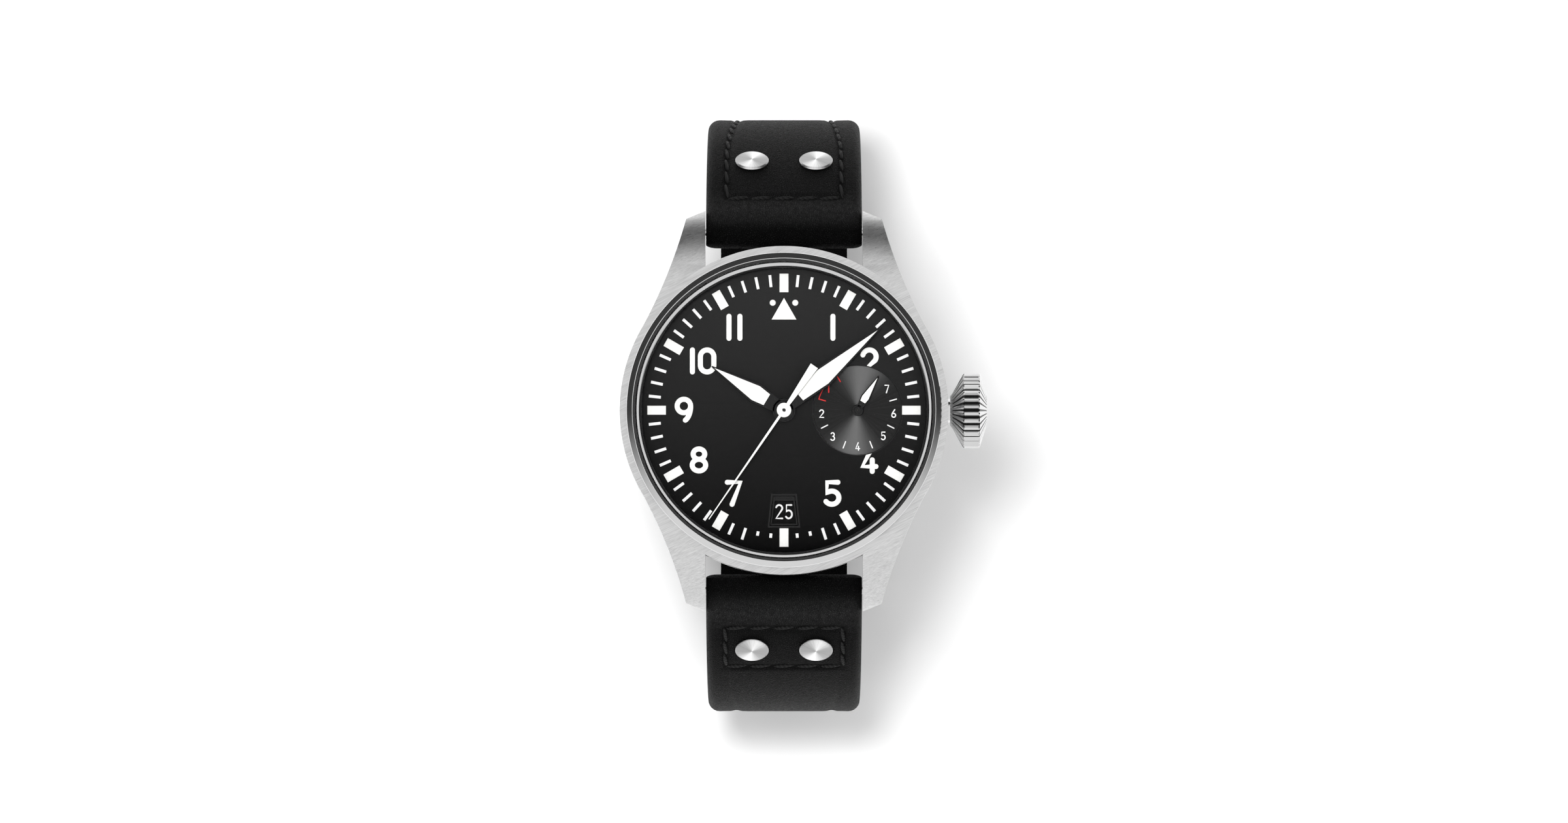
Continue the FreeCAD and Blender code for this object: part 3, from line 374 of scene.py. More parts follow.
dialLook = {"top": 0.021, "bottom": 0.0015, "fadeLength": 40, "roughness": 0.5, "grainScale": 9000.0,
            "grainRoughness": 0.1, "bump": (0.08, 0.00001)}


def blackDial():
    look = dialLook
    recipe = Recipe("blackDial", "black_dial", Specular_IOR_Level=0.07)
    where = recipe.place()
    # Painted shading: the base colour is lighter towards twelve and darker towards six, as the light falls
    # across the dial.
    share = recipe.parts(where)[1] * (1 / (look["fadeLength"] * mm)) + 0.5
    recipe.shade(share, look["bottom"], look["top"])
    grain = recipe.noise(where, look["grainScale"])
    recipe.feed("Roughness", grain * look["grainRoughness"] + look["roughness"])
    recipe.bump(grain, *look["bump"])
    return recipe.done()


reserveLook = {"centre": (10.37 * mm, 0, 0), "dark": 0.004, "light": 0.13, "rayScale": 14.0,
               "rayDetail": 4.0, "rayShare": 0.16, "lobeTurn": 0.12, "lobePower": 9, "lobeShare": 0.8}


def sunrayDial():
    look = reserveLook
    recipe = Recipe("sunrayDial", "black_dial", Specular_IOR_Level=0.07, Roughness=0.5)
    _, share = roundBrushing(recipe, recipe.place(origin=look["centre"]), look)
    # The lobes are a painted sheen: the base colour is lighter where the sunray would reflect the light.
    recipe.shade(share, look["dark"], look["light"])
    return recipe.done()


paintLook = {"shade": 0.86, "grainScale": 3000.0, "grainRoughness": 0.12}


def plainPaint(name, slot, colour, roughness=0.5, **fixed):
    look = paintLook
    recipe = Recipe(name, slot, **fixed)
    grain = recipe.noise(recipe.place(), look["grainScale"])
    darker = tuple(value * look["shade"] for value in colour)
    recipe.feed("Base Color", recipe.blend(grain, (*darker, 1.0), (*colour, 1.0)))
    recipe.feed("Roughness", grain * look["grainRoughness"] + (roughness - look["grainRoughness"] / 2))
    return recipe.done()


leatherLook = {"dark": 0.0006, "light": 0.006, "paintedHighlight": 0.05, "bend": 2.6, "bendWidth": 4.0,
               "warpScale": 1140.0, "pebbleScale": 3800.0, "poreScale": 1500.0,
               "pebbleEdge": 3.0, "pebbleShare": 0.55, "poreShare": 0.45,
               "roughness": 0.32, "creaseRoughness": 0.22, "warpRoughness": 0.1, "bump": (1.0, 0.00022)}


def blackLeather():
    look = leatherLook
    recipe = Recipe("blackLeather", "black_leather", Specular_IOR_Level=0.04)
    where = recipe.place(uv=True)
    warp = recipe.noise(where, look["warpScale"], detail=3.0)
    cells = recipe.node("ShaderNodeTexVoronoi", {"feature": "DISTANCE_TO_EDGE"},
                        {"Vector": where, "Scale": look["pebbleScale"]})
    pebbles = recipe.math("MINIMUM", cells * look["pebbleEdge"], 1.0)
    pores = recipe.noise(where, look["poreScale"], detail=6.0, roughness=0.65)
    height = pebbles * look["pebbleShare"] + pores * look["poreShare"]
    # A painted highlight: the base colour is lighter in a band where the leather bends down from the bar.
    run = recipe.parts(where)[1]
    away = abs(run * (1 / (look["bendWidth"] * mm)) - look["bend"] / look["bendWidth"])
    bend = recipe.math("MAXIMUM", 1.0 - away, 0.0)
    # Darker in the creases and lighter on the pebbles: partly the grain's own tone, partly painted
    # highlights on the pebble tops.
    plain = recipe.blend(height, grey(look["dark"]), grey(look["light"]))
    recipe.feed("Base Color", recipe.blend(bend * height * pores, plain, grey(look["paintedHighlight"])))
    crease = (1.0 - height) * look["creaseRoughness"]
    recipe.feed("Roughness", crease + look["roughness"] + warp * look["warpRoughness"])
    recipe.bump(height, *look["bump"])
    return recipe.done()


def clearCrystal():
    recipe = Recipe("clearCrystal", "sapphire", Base_Color=(0.01, 0.01, 0.012, 1.0), Roughness=0.03,
                    Alpha=0.02, Specular_IOR_Level=0.05)
    return recipe.done()


threadLook = {"dark": 0.002, "light": 0.012, "twistScale": 900.0, "twistBend": 1.5, "roughness": 0.5,
              "twistRoughness": 0.2, "bump": (0.6, 0.00008)}


def sewingThread():
    look = threadLook
    recipe = Recipe("sewingThread", "black_leather", Specular_IOR_Level=0.15)
    inputs = {"Vector": recipe.place(), "Scale": look["twistScale"], "Distortion": look["twistBend"]}
    twist = recipe.node("ShaderNodeTexWave", {"bands_direction": "DIAGONAL"}, inputs)
    recipe.shade(twist, look["dark"], look["light"])
    recipe.feed("Roughness", twist * look["twistRoughness"] + look["roughness"])
    recipe.bump(twist, *look["bump"])
    return recipe.done()


finishes = {
    "brushed": brushedSteel(),
    "polished": polishedSteel(),
    "turned": turnedSteel(),
    # The groove finish is darker steel standing in for the shade in the crown's flutes: painted shade.
    "groove": plainPaint("grooveShadeSteel", "polished_steel", (0.09, 0.09, 0.09), 0.3, Metallic=1.0),
    "dial": blackDial(),
    "sunray": sunrayDial(),
    "handBlack": plainPaint("handBlack", "black_dial", (0.004, 0.004, 0.004), 0.22,
                            Specular_IOR_Level=0.3),
    "lume": plainPaint("whiteLume", "white_lume", (0.82, 0.82, 0.8), 0.6),
    "print": plainPaint("whitePrint", "white_lume", (0.8, 0.8, 0.8), 0.55),
    "red": plainPaint("redPrint", "white_lume", (0.55, 0.02, 0.02), 0.5),
    "leather": blackLeather(),
    "thread": sewingThread(),
    "crystal": clearCrystal(),
    "brass": plainPaint("brassPlate", "brass", (0.72, 0.55, 0.28), 0.3, Metallic=1.0),
    "rhodium": plainPaint("rhodiumPlate", "rhodium_plate", (0.66, 0.66, 0.66), 0.3, Metallic=1.0),
    "iron": plainPaint("softIron", "soft_iron", (0.42, 0.42, 0.42), 0.4, Metallic=1.0),
    "rubber": plainPaint("blackRubber", "rubber", (0.012, 0.012, 0.012), 0.6),
}
print("stage: finishes made")


# CAD nodes that keep their own shape get their finish

keptNodes = {
    "brushed": ["case_back", "clasp_cover", "clasp_base_leaf"],
    "polished": ["crown_tube", "winding_stem", "spring_bar_12", "spring_bar_6", "hinge_pin_first",
                 "hinge_pin_second", "strap_bar_upper", "strap_bar_lower", "pusher_left", "pusher_right",
                 "clasp_middle_leaf", "fourth_wheel", "pallet_fork", "escape_wheel", "barrel_arbor",
                 "winding_pinion", "cannon_pinion"],
    "dial": ["date_disc"],
    "brass": ["mainspring_barrel", "centre_wheel", "third_wheel", "minute_wheel", "hour_wheel",
              "reserve_wheel", "balance_wheel", "rotor"],
    "rhodium": ["main_plate", "train_bridge", "balance_cock", "pallet_bridge"],
    "iron": ["soft_iron_cage", "movement_ring"],
    "rubber": ["case_back_gasket", "crystal_gasket"],
}
for finishName, nodeNames in keptNodes.items():
    for nodeName in nodeNames:
        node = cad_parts[nodeName]
        node.data.materials.clear()
        giveFinishes(node, finishName)


# Case, bezel, crystal

caseForm = {"radius": 23.15, "bore": 20.4, "bottom": 0.6, "top": 10.75, "chamfer": 2.4, "inset": 1.6,
            "sides": 240, "lugInner": 11.1, "lugStart": 21.6, "root": (20.7, 10.37), "corner": (13.8, 27.1),
            "bow": (16.14, 18.39), "bowSteps": 16, "reach": 28.25, "arcCentre": (15.3, -5.15),
            "arcRadius": 16.0, "arcAngles": (84, 36), "tip": (28.45, 2.7), "tipUnder": (27.95, 1.6),
            "heel": (26.65, 0.75), "belly": (20.5, 0.9), "cutterHalf": 40, "flatAngle": 0.5,
            "bevel": 0.26, "bevelSegments": 3, "bevelAngle": 38}


def lugPlan(side, end):
    # One lug from above: from inside the case's wall, along its bowed outer side, to the tip.
    form = caseForm
    root, bow, corner = form["root"], form["bow"], form["corner"]
    inner, start = form["lugStart"], math.degrees(math.acos(form["lugInner"] / form["lugStart"]))
    points = arcPoints(0, 0, inner, inner, start, math.degrees(math.atan2(root[1], root[0])), 12)
    for step in range(form["bowSteps"] + 1):
        share = step / form["bowSteps"]
        near, mid, far = (1 - share) ** 2, 2 * share * (1 - share), share ** 2
        points.append((near * root[0] + mid * bow[0] + far * corner[0],
                       near * root[1] + mid * bow[1] + far * corner[1]))
    points.append((form["lugInner"], form["reach"]))
    return [(side * x, end * y) for x, y in points]


def lugProfile():
    # All lugs from the side, as (reach, height): both ends curve down from the case.
    form = caseForm
    radius = form["arcRadius"]
    half = arcPoints(*form["arcCentre"], radius, radius, *form["arcAngles"], 24)
    half += [form["tip"], form["tipUnder"], form["heel"], form["belly"]]
    return half + [(-reach, height) for reach, height in reversed(half)]


def makeBarrel():
    form = caseForm
    radius, bore, bottom, top = form["radius"], form["bore"], form["bottom"], form["top"]
    rings = [(bore, bottom), (radius - form["inset"], bottom), (radius, bottom + form["chamfer"]),
             (radius, top), (bore, top)]
    return turnRings(rings, form["sides"], hollow=True)


def makeLugs():
    form = caseForm
    plans = [lugPlan(side, end) for side in (-1, 1) for end in (-1, 1)]
    lugs = cutPlate(plans, form["bottom"], form["top"])
    profile = cutPlate([lugProfile()], -form["cutterHalf"], form["cutterHalf"])
    profile.rotation_euler = (math.pi / 2, 0, math.pi / 2)
    profile.location = (0, 0, 0)
    applyPlace(profile)
    return combine(lugs, profile, "INTERSECT")


def bevelCase(piece):
    # The second material goes on the bevelled edges, which are polished.
    form = caseForm
    giveFinishes(piece, "brushed", "polished")
    bevel = piece.modifiers.new("edges", "BEVEL")
    bevel.material = 1
    bevel.width = form["bevel"] * mm
    bevel.segments = form["bevelSegments"]
    bevel.limit_method = "ANGLE"
    bevel.angle_limit = math.radians(form["bevelAngle"])
    choose(piece)
    bpy.ops.object.modifier_apply(modifier="edges")


def makeCase():
    piece = combine(makeBarrel(), makeLugs(), "UNION")
    closeShell(piece)
    bpy.ops.object.mode_set(mode="EDIT")
    bpy.ops.mesh.select_all(action="SELECT")
    bpy.ops.mesh.dissolve_limited(angle_limit=math.radians(caseForm["flatAngle"]))
    bpy.ops.object.mode_set(mode="OBJECT")
    bevelCase(piece)
    finishPiece(piece, "case_body", "brushed", "case", ["case_middle"], 40)


bezelForm = {"sides": 240,
             "rings": [(21.27, 12.2), (22.1, 12.2), (22.2, 12.3), (22.2, 13.42), (22.13, 13.56),
                       (21.48, 14.03), (21.4, 14.12), (21.33, 14.15), (21.27, 14.08)],
             "skirt": [(21.27, 11.0), (22.2, 11.0), (22.2, 12.1), (22.08, 12.2), (21.27, 12.2)]}


def makeBezel():
    parts = [turnRings(bezelForm[part], bezelForm["sides"], hollow=True) for part in ("rings", "skirt")]
    finishPiece(joinPieces(parts), "bezel_ring", "polished", "case", ["bezel"], 25)


crystalForm = {"sides": 200,
               "rings": [(20.95, 13.02), (20.95, 13.95), (20.7, 14.22), (19.0, 14.52), (16.0, 14.95),
                         (12.0, 15.25), (7.0, 15.37), (2.0, 15.395)],
               "flange": [(19.95, 10.72), (20.3, 10.72), (20.3, 12.85), (20.25, 12.9), (20.12, 12.9),
                          (20.05, 12.8)],
               "collar": [(20.32, 12.0), (20.9, 12.0), (20.9, 12.9), (20.75, 13.0), (20.45, 13.0),
                          (20.32, 12.9)]}


def makeCrystal():
    form = crystalForm
    piece = turnRings(form["rings"], form["sides"])
    finishPiece(piece, "domed_crystal", "crystal", "case", ["crystal"], 40)
    flange = turnRings(form["flange"], form["sides"], hollow=True)
    finishPiece(flange, "flange", "handBlack", "case", ["flange_ring"], 25)
    collar = turnRings(form["collar"], form["sides"], hollow=True)
    finishPiece(collar, "crystal_collar", "polished", "case", smoothAngle=25)


makeCase()
makeBezel()
makeCrystal()
print("stage: case made")


# Dial

dialForm = {"bottom": 10.22, "top": 10.7, "radius": 20.3, "centreHole": 1.0, "edge": 0.03,
            "print": 10.76, "printEdge": 0.025, "lume": 10.84, "lumeEdge": 0.06}
windowForm = {"inner": 12.05, "outer": 16.27, "innerWidth": 3.1, "outerWidth": 4.05, "frame": 0.28,
              "frameInside": 0.02, "frameHeight": 0.07, "lip": (0.08, 0.3), "lipHeights": (10.3, 10.45),
              "cover": (11.2, 12.75), "coverHeights": (9.95, 10.15)}
reserveForm = {"x": 10.37, "radius": 6.3, "floor": 10.45, "floorRadius": 6.27, "hole": 0.3, "sides": 120,
               "rim": [(6.3, -0.05), (6.3, 0.03), (6.36, 0.05), (6.42, 0.03), (6.42, -0.05)]}
markForm = {"minuteInner": 17.45, "minuteOuter": 19.15, "minuteWidth": 0.4, "hourInner": 16.63,
            "hourOuter": 19.25, "hourWidth": 1.27, "shortOuter": 18.07, "shortMinutes": (28, 29, 31, 32),
            "triangle": [(-1.76, 12.78), (1.76, 12.78), (0, 15.85)],
            "dot": (1.59, 15.15), "dotRadius": 0.43, "dotFlatness": 0.35}


def windowOutline(grow):
    inner, outer = windowForm["inner"] - grow, windowForm["outer"] + grow
    near, far = windowForm["innerWidth"] / 2 + grow, windowForm["outerWidth"] / 2 + grow
    return [(-near, -inner), (-far, -outer), (far, -outer), (near, -inner)]


def windowCover():
    # A strip between the dial and the date ring, over the inner edge of the ring.
    side = windowForm["outerWidth"] / 2
    inner, outer = windowForm["cover"]
    return [(-side, -inner), (-side, -outer), (side, -outer), (side, -inner)]


def makeDialPlate():
    form, reserve = dialForm, reserveForm
    outlines = [circlePoints(0, 0, form["radius"], 180), windowOutline(0.0),
                circlePoints(reserve["x"], 0, reserve["radius"], reserve["sides"]),
                circlePoints(0, 0, form["centreHole"])]
    dial = cutPlate(outlines, form["bottom"], form["top"], form["edge"])
    finishPiece(dial, "dial_plate", "dial", "case", ["dial"])


def makeDateFrame():
    form, top, edge = windowForm, dialForm["top"], dialForm["edge"]
    outer, inner = form["lip"]
    ring = [windowOutline(form["frame"]), windowOutline(form["frameInside"])]
    parts = [cutPlate(ring, top, top + form["frameHeight"], edge),
             cutPlate([windowOutline(-outer), windowOutline(-inner)], *form["lipHeights"], edge),
             cutPlate([windowCover()], *form["coverHeights"])]
    finishPiece(joinPieces(parts), "date_frame", "handBlack", "case")


def makeReserveFloor():
    form, bottom, top = reserveForm, dialForm["bottom"], dialForm["top"]
    radius, hole = form["floorRadius"], form["hole"]
    floorRings = [(radius, bottom), (radius, form["floor"]), (hole, form["floor"]), (hole, bottom)]
    floor = turnRings(floorRings, form["sides"], hollow=True)
    floor.location = (form["x"] * mm, 0, 0)
    finishPiece(floor, "reserve_floor", "sunray", "case", ["sub_dial"])
    rimRings = [(reach, top + rise) for reach, rise in form["rim"]]
    rim = turnRings(rimRings, form["sides"], hollow=True)
    rim.location = (form["x"] * mm, 0, 0)
    finishPiece(rim, "reserve_rim", "handBlack", "case")


def radialBlock(minute, inner, outer, width):
    turn = math.radians(90 - 6 * minute)
    cosine, sine = math.cos(turn), math.sin(turn)
    corners = ((inner, -width / 2), (outer, -width / 2), (outer, width / 2), (inner, width / 2))
    return [(cosine * reach - sine * side, sine * reach + cosine * side) for reach, side in corners]


def makeMinuteTrack():
    form = markForm
    shapes = []
    for minute in range(60):
        if minute % 5:
            outer = form["shortOuter"] if minute in form["shortMinutes"] else form["minuteOuter"]
            shapes.append(radialBlock(minute, form["minuteInner"], outer, form["minuteWidth"]))
    track = cutPlate(shapes, dialForm["top"], dialForm["print"], dialForm["printEdge"])
    finishPiece(track, "minute_track", "print", "case")


def makeHourBlocks():
    form, top = markForm, dialForm["top"]
    blocks = [radialBlock(hour * 5, form["hourInner"], form["hourOuter"], form["hourWidth"])
              for hour in range(12)]
    blocks.append(form["triangle"])
    parts = [cutPlate(blocks, top, dialForm["lume"], dialForm["lumeEdge"])]
    x, y = form["dot"]
    for side in (-1, 1):
        dot = addBall(side * x, y, top, form["dotRadius"], 24, 12)
        dot.scale = (1, 1, form["dotFlatness"])
        parts.append(applyPlace(dot))
    finishPiece(joinPieces(parts), "hour_blocks", "lume", "case", ["hour_markers"])


# Numerals as strokes of a round-ended pen: their points, and whether they close. The half width
# and half height are those of the pen's path.
def figureStrokes(figure, x, y, across, up):
    ratio = across / up
    high, low = 1 - ratio, ratio - 1
    strokes = {
        "0": [(arcPoints(0, high, 1, ratio, 0, 180) + arcPoints(0, low, 1, ratio, 180, 360), True)],
        "1": [([(0, 1), (0, -1)], False)],
        "2": [(arcPoints(0, high, 1, ratio, 165, -35, 18) + [(-1, -1), (1, -1)], False)],
        "3": [(arcPoints(-0.05, 0.53, 0.85, 0.47, 150, -90, 16)
               + arcPoints(-0.05, -0.47, 1.0, 0.53, 90, -150, 18), False)],
        "4": [([(0.3, 1), (-1, -0.55), (1, -0.55)], False), ([(0.45, 0.05), (0.45, -1)], False)],
        "5": [([(0.85, 1), (-0.75, 1), (-0.8, 0.02)]
               + arcPoints(-0.05, -0.4, 1.05, 0.6, 118, -145, 22), False)],
        "6": [(arcPoints(0, low, 1, ratio, 0, 360, 28), True),
              ([(0.55, 1), (-0.35, 0.35), (-0.85, -0.15), (-1, low)], False)],
        "7": [([(-1, 1), (0.95, 1), (-0.3, -1)], False)],
        "8": [(arcPoints(0, 0.53, 0.86, 0.47, -90, 270, 26), True),
              (arcPoints(0, -0.47, 1.0, 0.53, 90, 450, 26), True)],
        "9": [(arcPoints(0, high, 1, ratio, 0, 360, 28), True),
              (arcPoints(-0.25, high, 1.25, 2 - ratio, 0, -68, 14), False)]}
    return [([(x + px * across, y + py * up) for px, py in points], closed)
            for points, closed in strokes[figure]]


numeralForm = {"pen": 0.72, "across": 0.95, "up": 1.55, "sink": 0.05, "rise": 0.11, "clearance": 0.1,
               "places": [("1", 6.89, 11.69), ("1", -7.75, 11.69), ("1", -6.21, 11.69),
                          ("1", -12.9, 6.95), ("0", -10.83, 6.95), ("9", -14.1, 0.0),
                          ("8", -11.98, -7.0), ("7", -7.03, -11.7), ("5", 6.78, -11.7),
                          ("4", 12.0, -7.07), ("2", 12.03, 6.95)]}
scaleForm = {"pen": 0.17, "across": 0.27, "up": 0.53, "reach": 5.1, "sink": 0.01, "rise": 0.03,
             "figures": [("7", 54.0), ("6", 95.0), ("5", 135.0), ("4", 180.0), ("3", 223.5), ("2", 264.6)],
             "redFigures": [("1", 307.0)], "ticks": (73.9, 116.3, 158.5, 201.0, 243.7),
             "redTicks": (286.3, 329.0), "tickInner": 4.72, "tickOuter": 5.69, "tickWidth": 0.16,
             "arcWidth": 0.12}
dateForm = {"pen": 0.25, "across": 0.44, "up": 0.94, "top": 9.87, "depth": 0.1,
            "places": [("2", -0.68, -14.28), ("5", 0.68, -14.28)]}


def paintFigures(places, form, low, high):
    parts = []
    for figure, x, y in places:
        for points, closed in figureStrokes(figure, x, y, form["across"], form["up"]):
            parts.append(paintStroke(points, form["pen"], low, high, closed))
    return joinPieces(parts)


def makeNumerals():
    # The sub-dial cuts into the numerals 2 and 4.
    form, top = numeralForm, dialForm["top"]
    numerals = paintFigures(form["places"], form, top - form["sink"], top + form["rise"])
    clearSelection()
    radius = reserveForm["radius"] + form["clearance"]
    bpy.ops.mesh.primitive_cylinder_add(vertices=reserveForm["sides"], radius=radius * mm, depth=2 * mm,
                                        location=(reserveForm["x"] * mm, 0, top * mm))
    combine(numerals, bpy.context.object, "DIFFERENCE", overlapping=True)
    finishPiece(numerals, "numerals", "lume", "case", smoothAngle=60)


def clockwisePlace(angle, reach):
    turn = math.radians(90 - angle)
    return reserveForm["x"] + reach * math.cos(turn), reach * math.sin(turn)


def makeReserveScale():
    form, floor = scaleForm, reserveForm["floor"]
    low, high = floor - form["sink"], floor + form["rise"]
    sets = (("reserve_scale", "print", "figures", "ticks"),
            ("reserve_warning", "red", "redFigures", "redTicks"))
    for name, finish, figures, ticks in sets:
        places = [(figure, *clockwisePlace(angle, form["reach"])) for figure, angle in form[figures]]
        parts = [paintFigures(places, form, low, high)]
        for angle in form[ticks]:
            ends = [clockwisePlace(angle, reach) for reach in (form["tickInner"], form["tickOuter"])]
            parts.append(paintStroke(ends, form["tickWidth"], low, high))
        if finish == "red":
            start, stop = (90 - angle for angle in form[ticks])
            reach = form["tickOuter"]
            arc = arcPoints(reserveForm["x"], 0, reach, reach, start, stop, 24)
            parts.append(paintStroke(arc, form["arcWidth"], low, high))
        finishPiece(joinPieces(parts), name, finish, "case", smoothAngle=60)


def makeDate():
    top = dateForm["top"]
    number = paintFigures(dateForm["places"], dateForm, top - dateForm["depth"], top)
    finishPiece(number, "date_number", "print", "date_disc", smoothAngle=60)


makeDialPlate()
makeDateFrame()
makeReserveFloor()
makeMinuteTrack()
makeHourBlocks()
makeNumerals()
makeReserveScale()
makeDate()
print("stage: dial made")


# Hands

handForms = {
    "hour": {"angle": 301.2, "level": 11.15, "length": 12.0, "root": 0.85, "widest": 1.42,
             "widestAt": 4.65, "hub": 1.67, "bore": 0.3, "lumeFrom": 2.8, "border": 0.27,
             "body": "hour_arbor", "x": 0.0},
    "minute": {"angle": 49.5, "level": 11.75, "length": 18.06, "root": 0.7, "widest": 1.5,
               "widestAt": 7.2, "hub": 1.4, "bore": 0.3, "lumeFrom": 2.92, "border": 0.27,
               "body": "minute_arbor", "x": 0.0},
    "reserve": {"angle": 31.6, "level": 10.8, "length": 5.71, "root": 0.38, "widest": 0.67,
                "widestAt": 2.1, "hub": 0.81, "bore": 0.02, "lumeFrom": 1.34, "border": 0.14,
                "body": "reserve_arbor", "x": 10.37},
}
# What the three hands share; the hub's steps are (radius, height) from its rim and the blade's top.
bladeForm = {"thickness": 0.19, "edge": 0.045, "start": 0.3, "tip": 0.09, "tipBorder": 0.2,
             "lumeGap": 0.02, "lumeSink": 0.03, "lumeRise": 0.01, "lumeEdge": 0.03,
             "hubSteps": [(0, -0.05), (-0.06, 0), (-0.3, 0), (-0.34, 0.05)], "hubRise": 0.05}
secondForm = {"angle": 214.5, "low": 12.3, "high": 12.48, "edge": 0.04,
              "side": [(0.62, -7.55), (0.24, -0.6), (0.18, 0.6), (0.07, 18.66)],
              "hub": [(0.27, 12.3), (1.02, 12.3), (1.02, 12.46), (0.94, 12.52), (0.34, 12.53),
                      (0.27, 12.48)],
              "pin": [(0.25, 12.3), (0.25, 12.48), (0.12, 12.52)]}


def widthAt(form, reach):
    if reach <= form["widestAt"]:
        share = (reach - bladeForm["start"]) / (form["widestAt"] - bladeForm["start"])
        return form["root"] + (form["widest"] - form["root"]) * share
    return form["widest"] * (form["length"] - reach) / (form["length"] - form["widestAt"])


def bladeOutline(form, start, border):
    # The blade itself has a blunt tip; what lies inside its border is pointed.
    near, side = widthAt(form, start) - border, form["widest"] - border
    end = form["length"] - border * form["length"] / form["widest"] * bladeForm["tipBorder"]
    tip = bladeForm["tip"]
    point = [(0.0, end)] if border else [(tip, end - tip), (-tip, end - tip)]
    right, left = [(near, start), (side, form["widestAt"])], [(-side, form["widestAt"]), (-near, start)]
    return right + point + left


def turnHand(piece, angle, x=0.0):
    piece.rotation_euler = (0, 0, math.radians(-angle))
    piece.location = (x * mm, 0, 0)
    return applyPlace(piece)


def makeHub(form, low, high):
    radius, bore = form["hub"], form["bore"]
    rings = [(bore, low), (radius, low)]
    rings += [(radius + step, high + rise) for step, rise in bladeForm["hubSteps"]]
    rings.append((bore, high + bladeForm["hubRise"]))
    return turnRings(rings, 64, hollow=True)


def makeHand(name, form):
    shared, start, border = bladeForm, form["lumeFrom"], form["border"]
    low, high = form["level"], form["level"] + shared["thickness"]
    outlines = [bladeOutline(form, shared["start"], 0.0), bladeOutline(form, start, border)]
    blade = cutPlate(outlines, low, high, shared["edge"])
    metal = turnHand(joinPieces([blade, makeHub(form, low, high)]), form["angle"], form["x"])
    finishPiece(metal, name + "_hand_frame", "handBlack", form["body"], [name + "_hand"])
    gap = shared["lumeGap"]
    lume = cutPlate([bladeOutline(form, start + gap, border + gap)],
                    low + shared["lumeSink"], high + shared["lumeRise"], shared["lumeEdge"])
    finishPiece(turnHand(lume, form["angle"], form["x"]), name + "_hand_lume", "lume", form["body"])


def makeSecondHand():
    form = secondForm
    side = form["side"]
    tailX, tailY = side[0]
    outline = [(-tailX, tailY), *side, *((-x, y) for x, y in side[:0:-1])]
    needle = cutPlate([outline], form["low"], form["high"], form["edge"])
    hub = turnRings(form["hub"], 64, hollow=True)
    whole = turnHand(joinPieces([needle, hub]), form["angle"])
    finishPiece(whole, "second_hand_needle", "lume", "second_arbor", ["second_hand"])
    finishPiece(turnRings(form["pin"], 32), "second_hand_pin", "handBlack", "second_arbor")


for handName, handForm in handForms.items():
    makeHand(handName, handForm)
makeSecondHand()
print("stage: hands made")


# Crown

# Each flute has six points round the crown; a groove draws some of them in by these ratios.
crownForm = {"flutes": 30, "flutePoints": 6, "height": 6.2, "neck": 2.2,
             "groove": {0: 0.89, 1: 0.93, 5: 0.93, 2: 0.985, 4: 0.985},
             "rings": [(1.78, 23.42), (2.1, 23.42), (2.5, 23.75), (5.1, 25.22), (5.26, 25.4),
                       (5.26, 27.42), (5.12, 27.6), (2.3, 28.5), (2.05, 28.58)]}


def flutePlace(spot):
    # Where a spot lies round its flute, and whether it is outside the crown's plain neck.
    points = crownForm["flutePoints"]
    step = math.radians(360 / (crownForm["flutes"] * points))
    outside = math.hypot(spot.x, spot.y) > crownForm["neck"] * mm
    return math.atan2(spot.y, spot.x) / step, outside


def drawIn(piece, point, ratio):
    bpy.ops.object.mode_set(mode="EDIT")
    bpy.ops.mesh.select_mode(type="VERT")
    bpy.ops.mesh.select_all(action="DESELECT")
    bpy.ops.object.mode_set(mode="OBJECT")
    for vertex in piece.data.vertices:
        place, outside = flutePlace(vertex.co)
        vertex.select = outside and round(place) % crownForm["flutePoints"] == point
    bpy.ops.object.mode_set(mode="EDIT")
    bpy.ops.transform.resize(value=(ratio, ratio, 1), center_override=(0, 0, 0))
    bpy.ops.object.mode_set(mode="OBJECT")


def makeCrown():
    form = crownForm
    points = form["flutePoints"]
    piece = turnRings(form["rings"], form["flutes"] * points)
    choose(piece)
    for point, ratio in form["groove"].items():
        drawIn(piece, point, ratio)
    # The groove floors get the darker steel as painted shade in the flutes.
    giveFinishes(piece, "polished", "groove")
    for face in piece.data.polygons:
        place, outside = flutePlace(face.center)
        place %= points
        face.material_index = 1 if outside and min(place, points - place) < 1 else 0
    piece.rotation_euler = (0, math.pi / 2, 0)
    piece.location = (0, 0, form["height"] * mm)
    finishPiece(piece, "fluted_crown", "polished", "crown", ["crown"], 25)


makeCrown()
print("stage: crown made")


# Strap

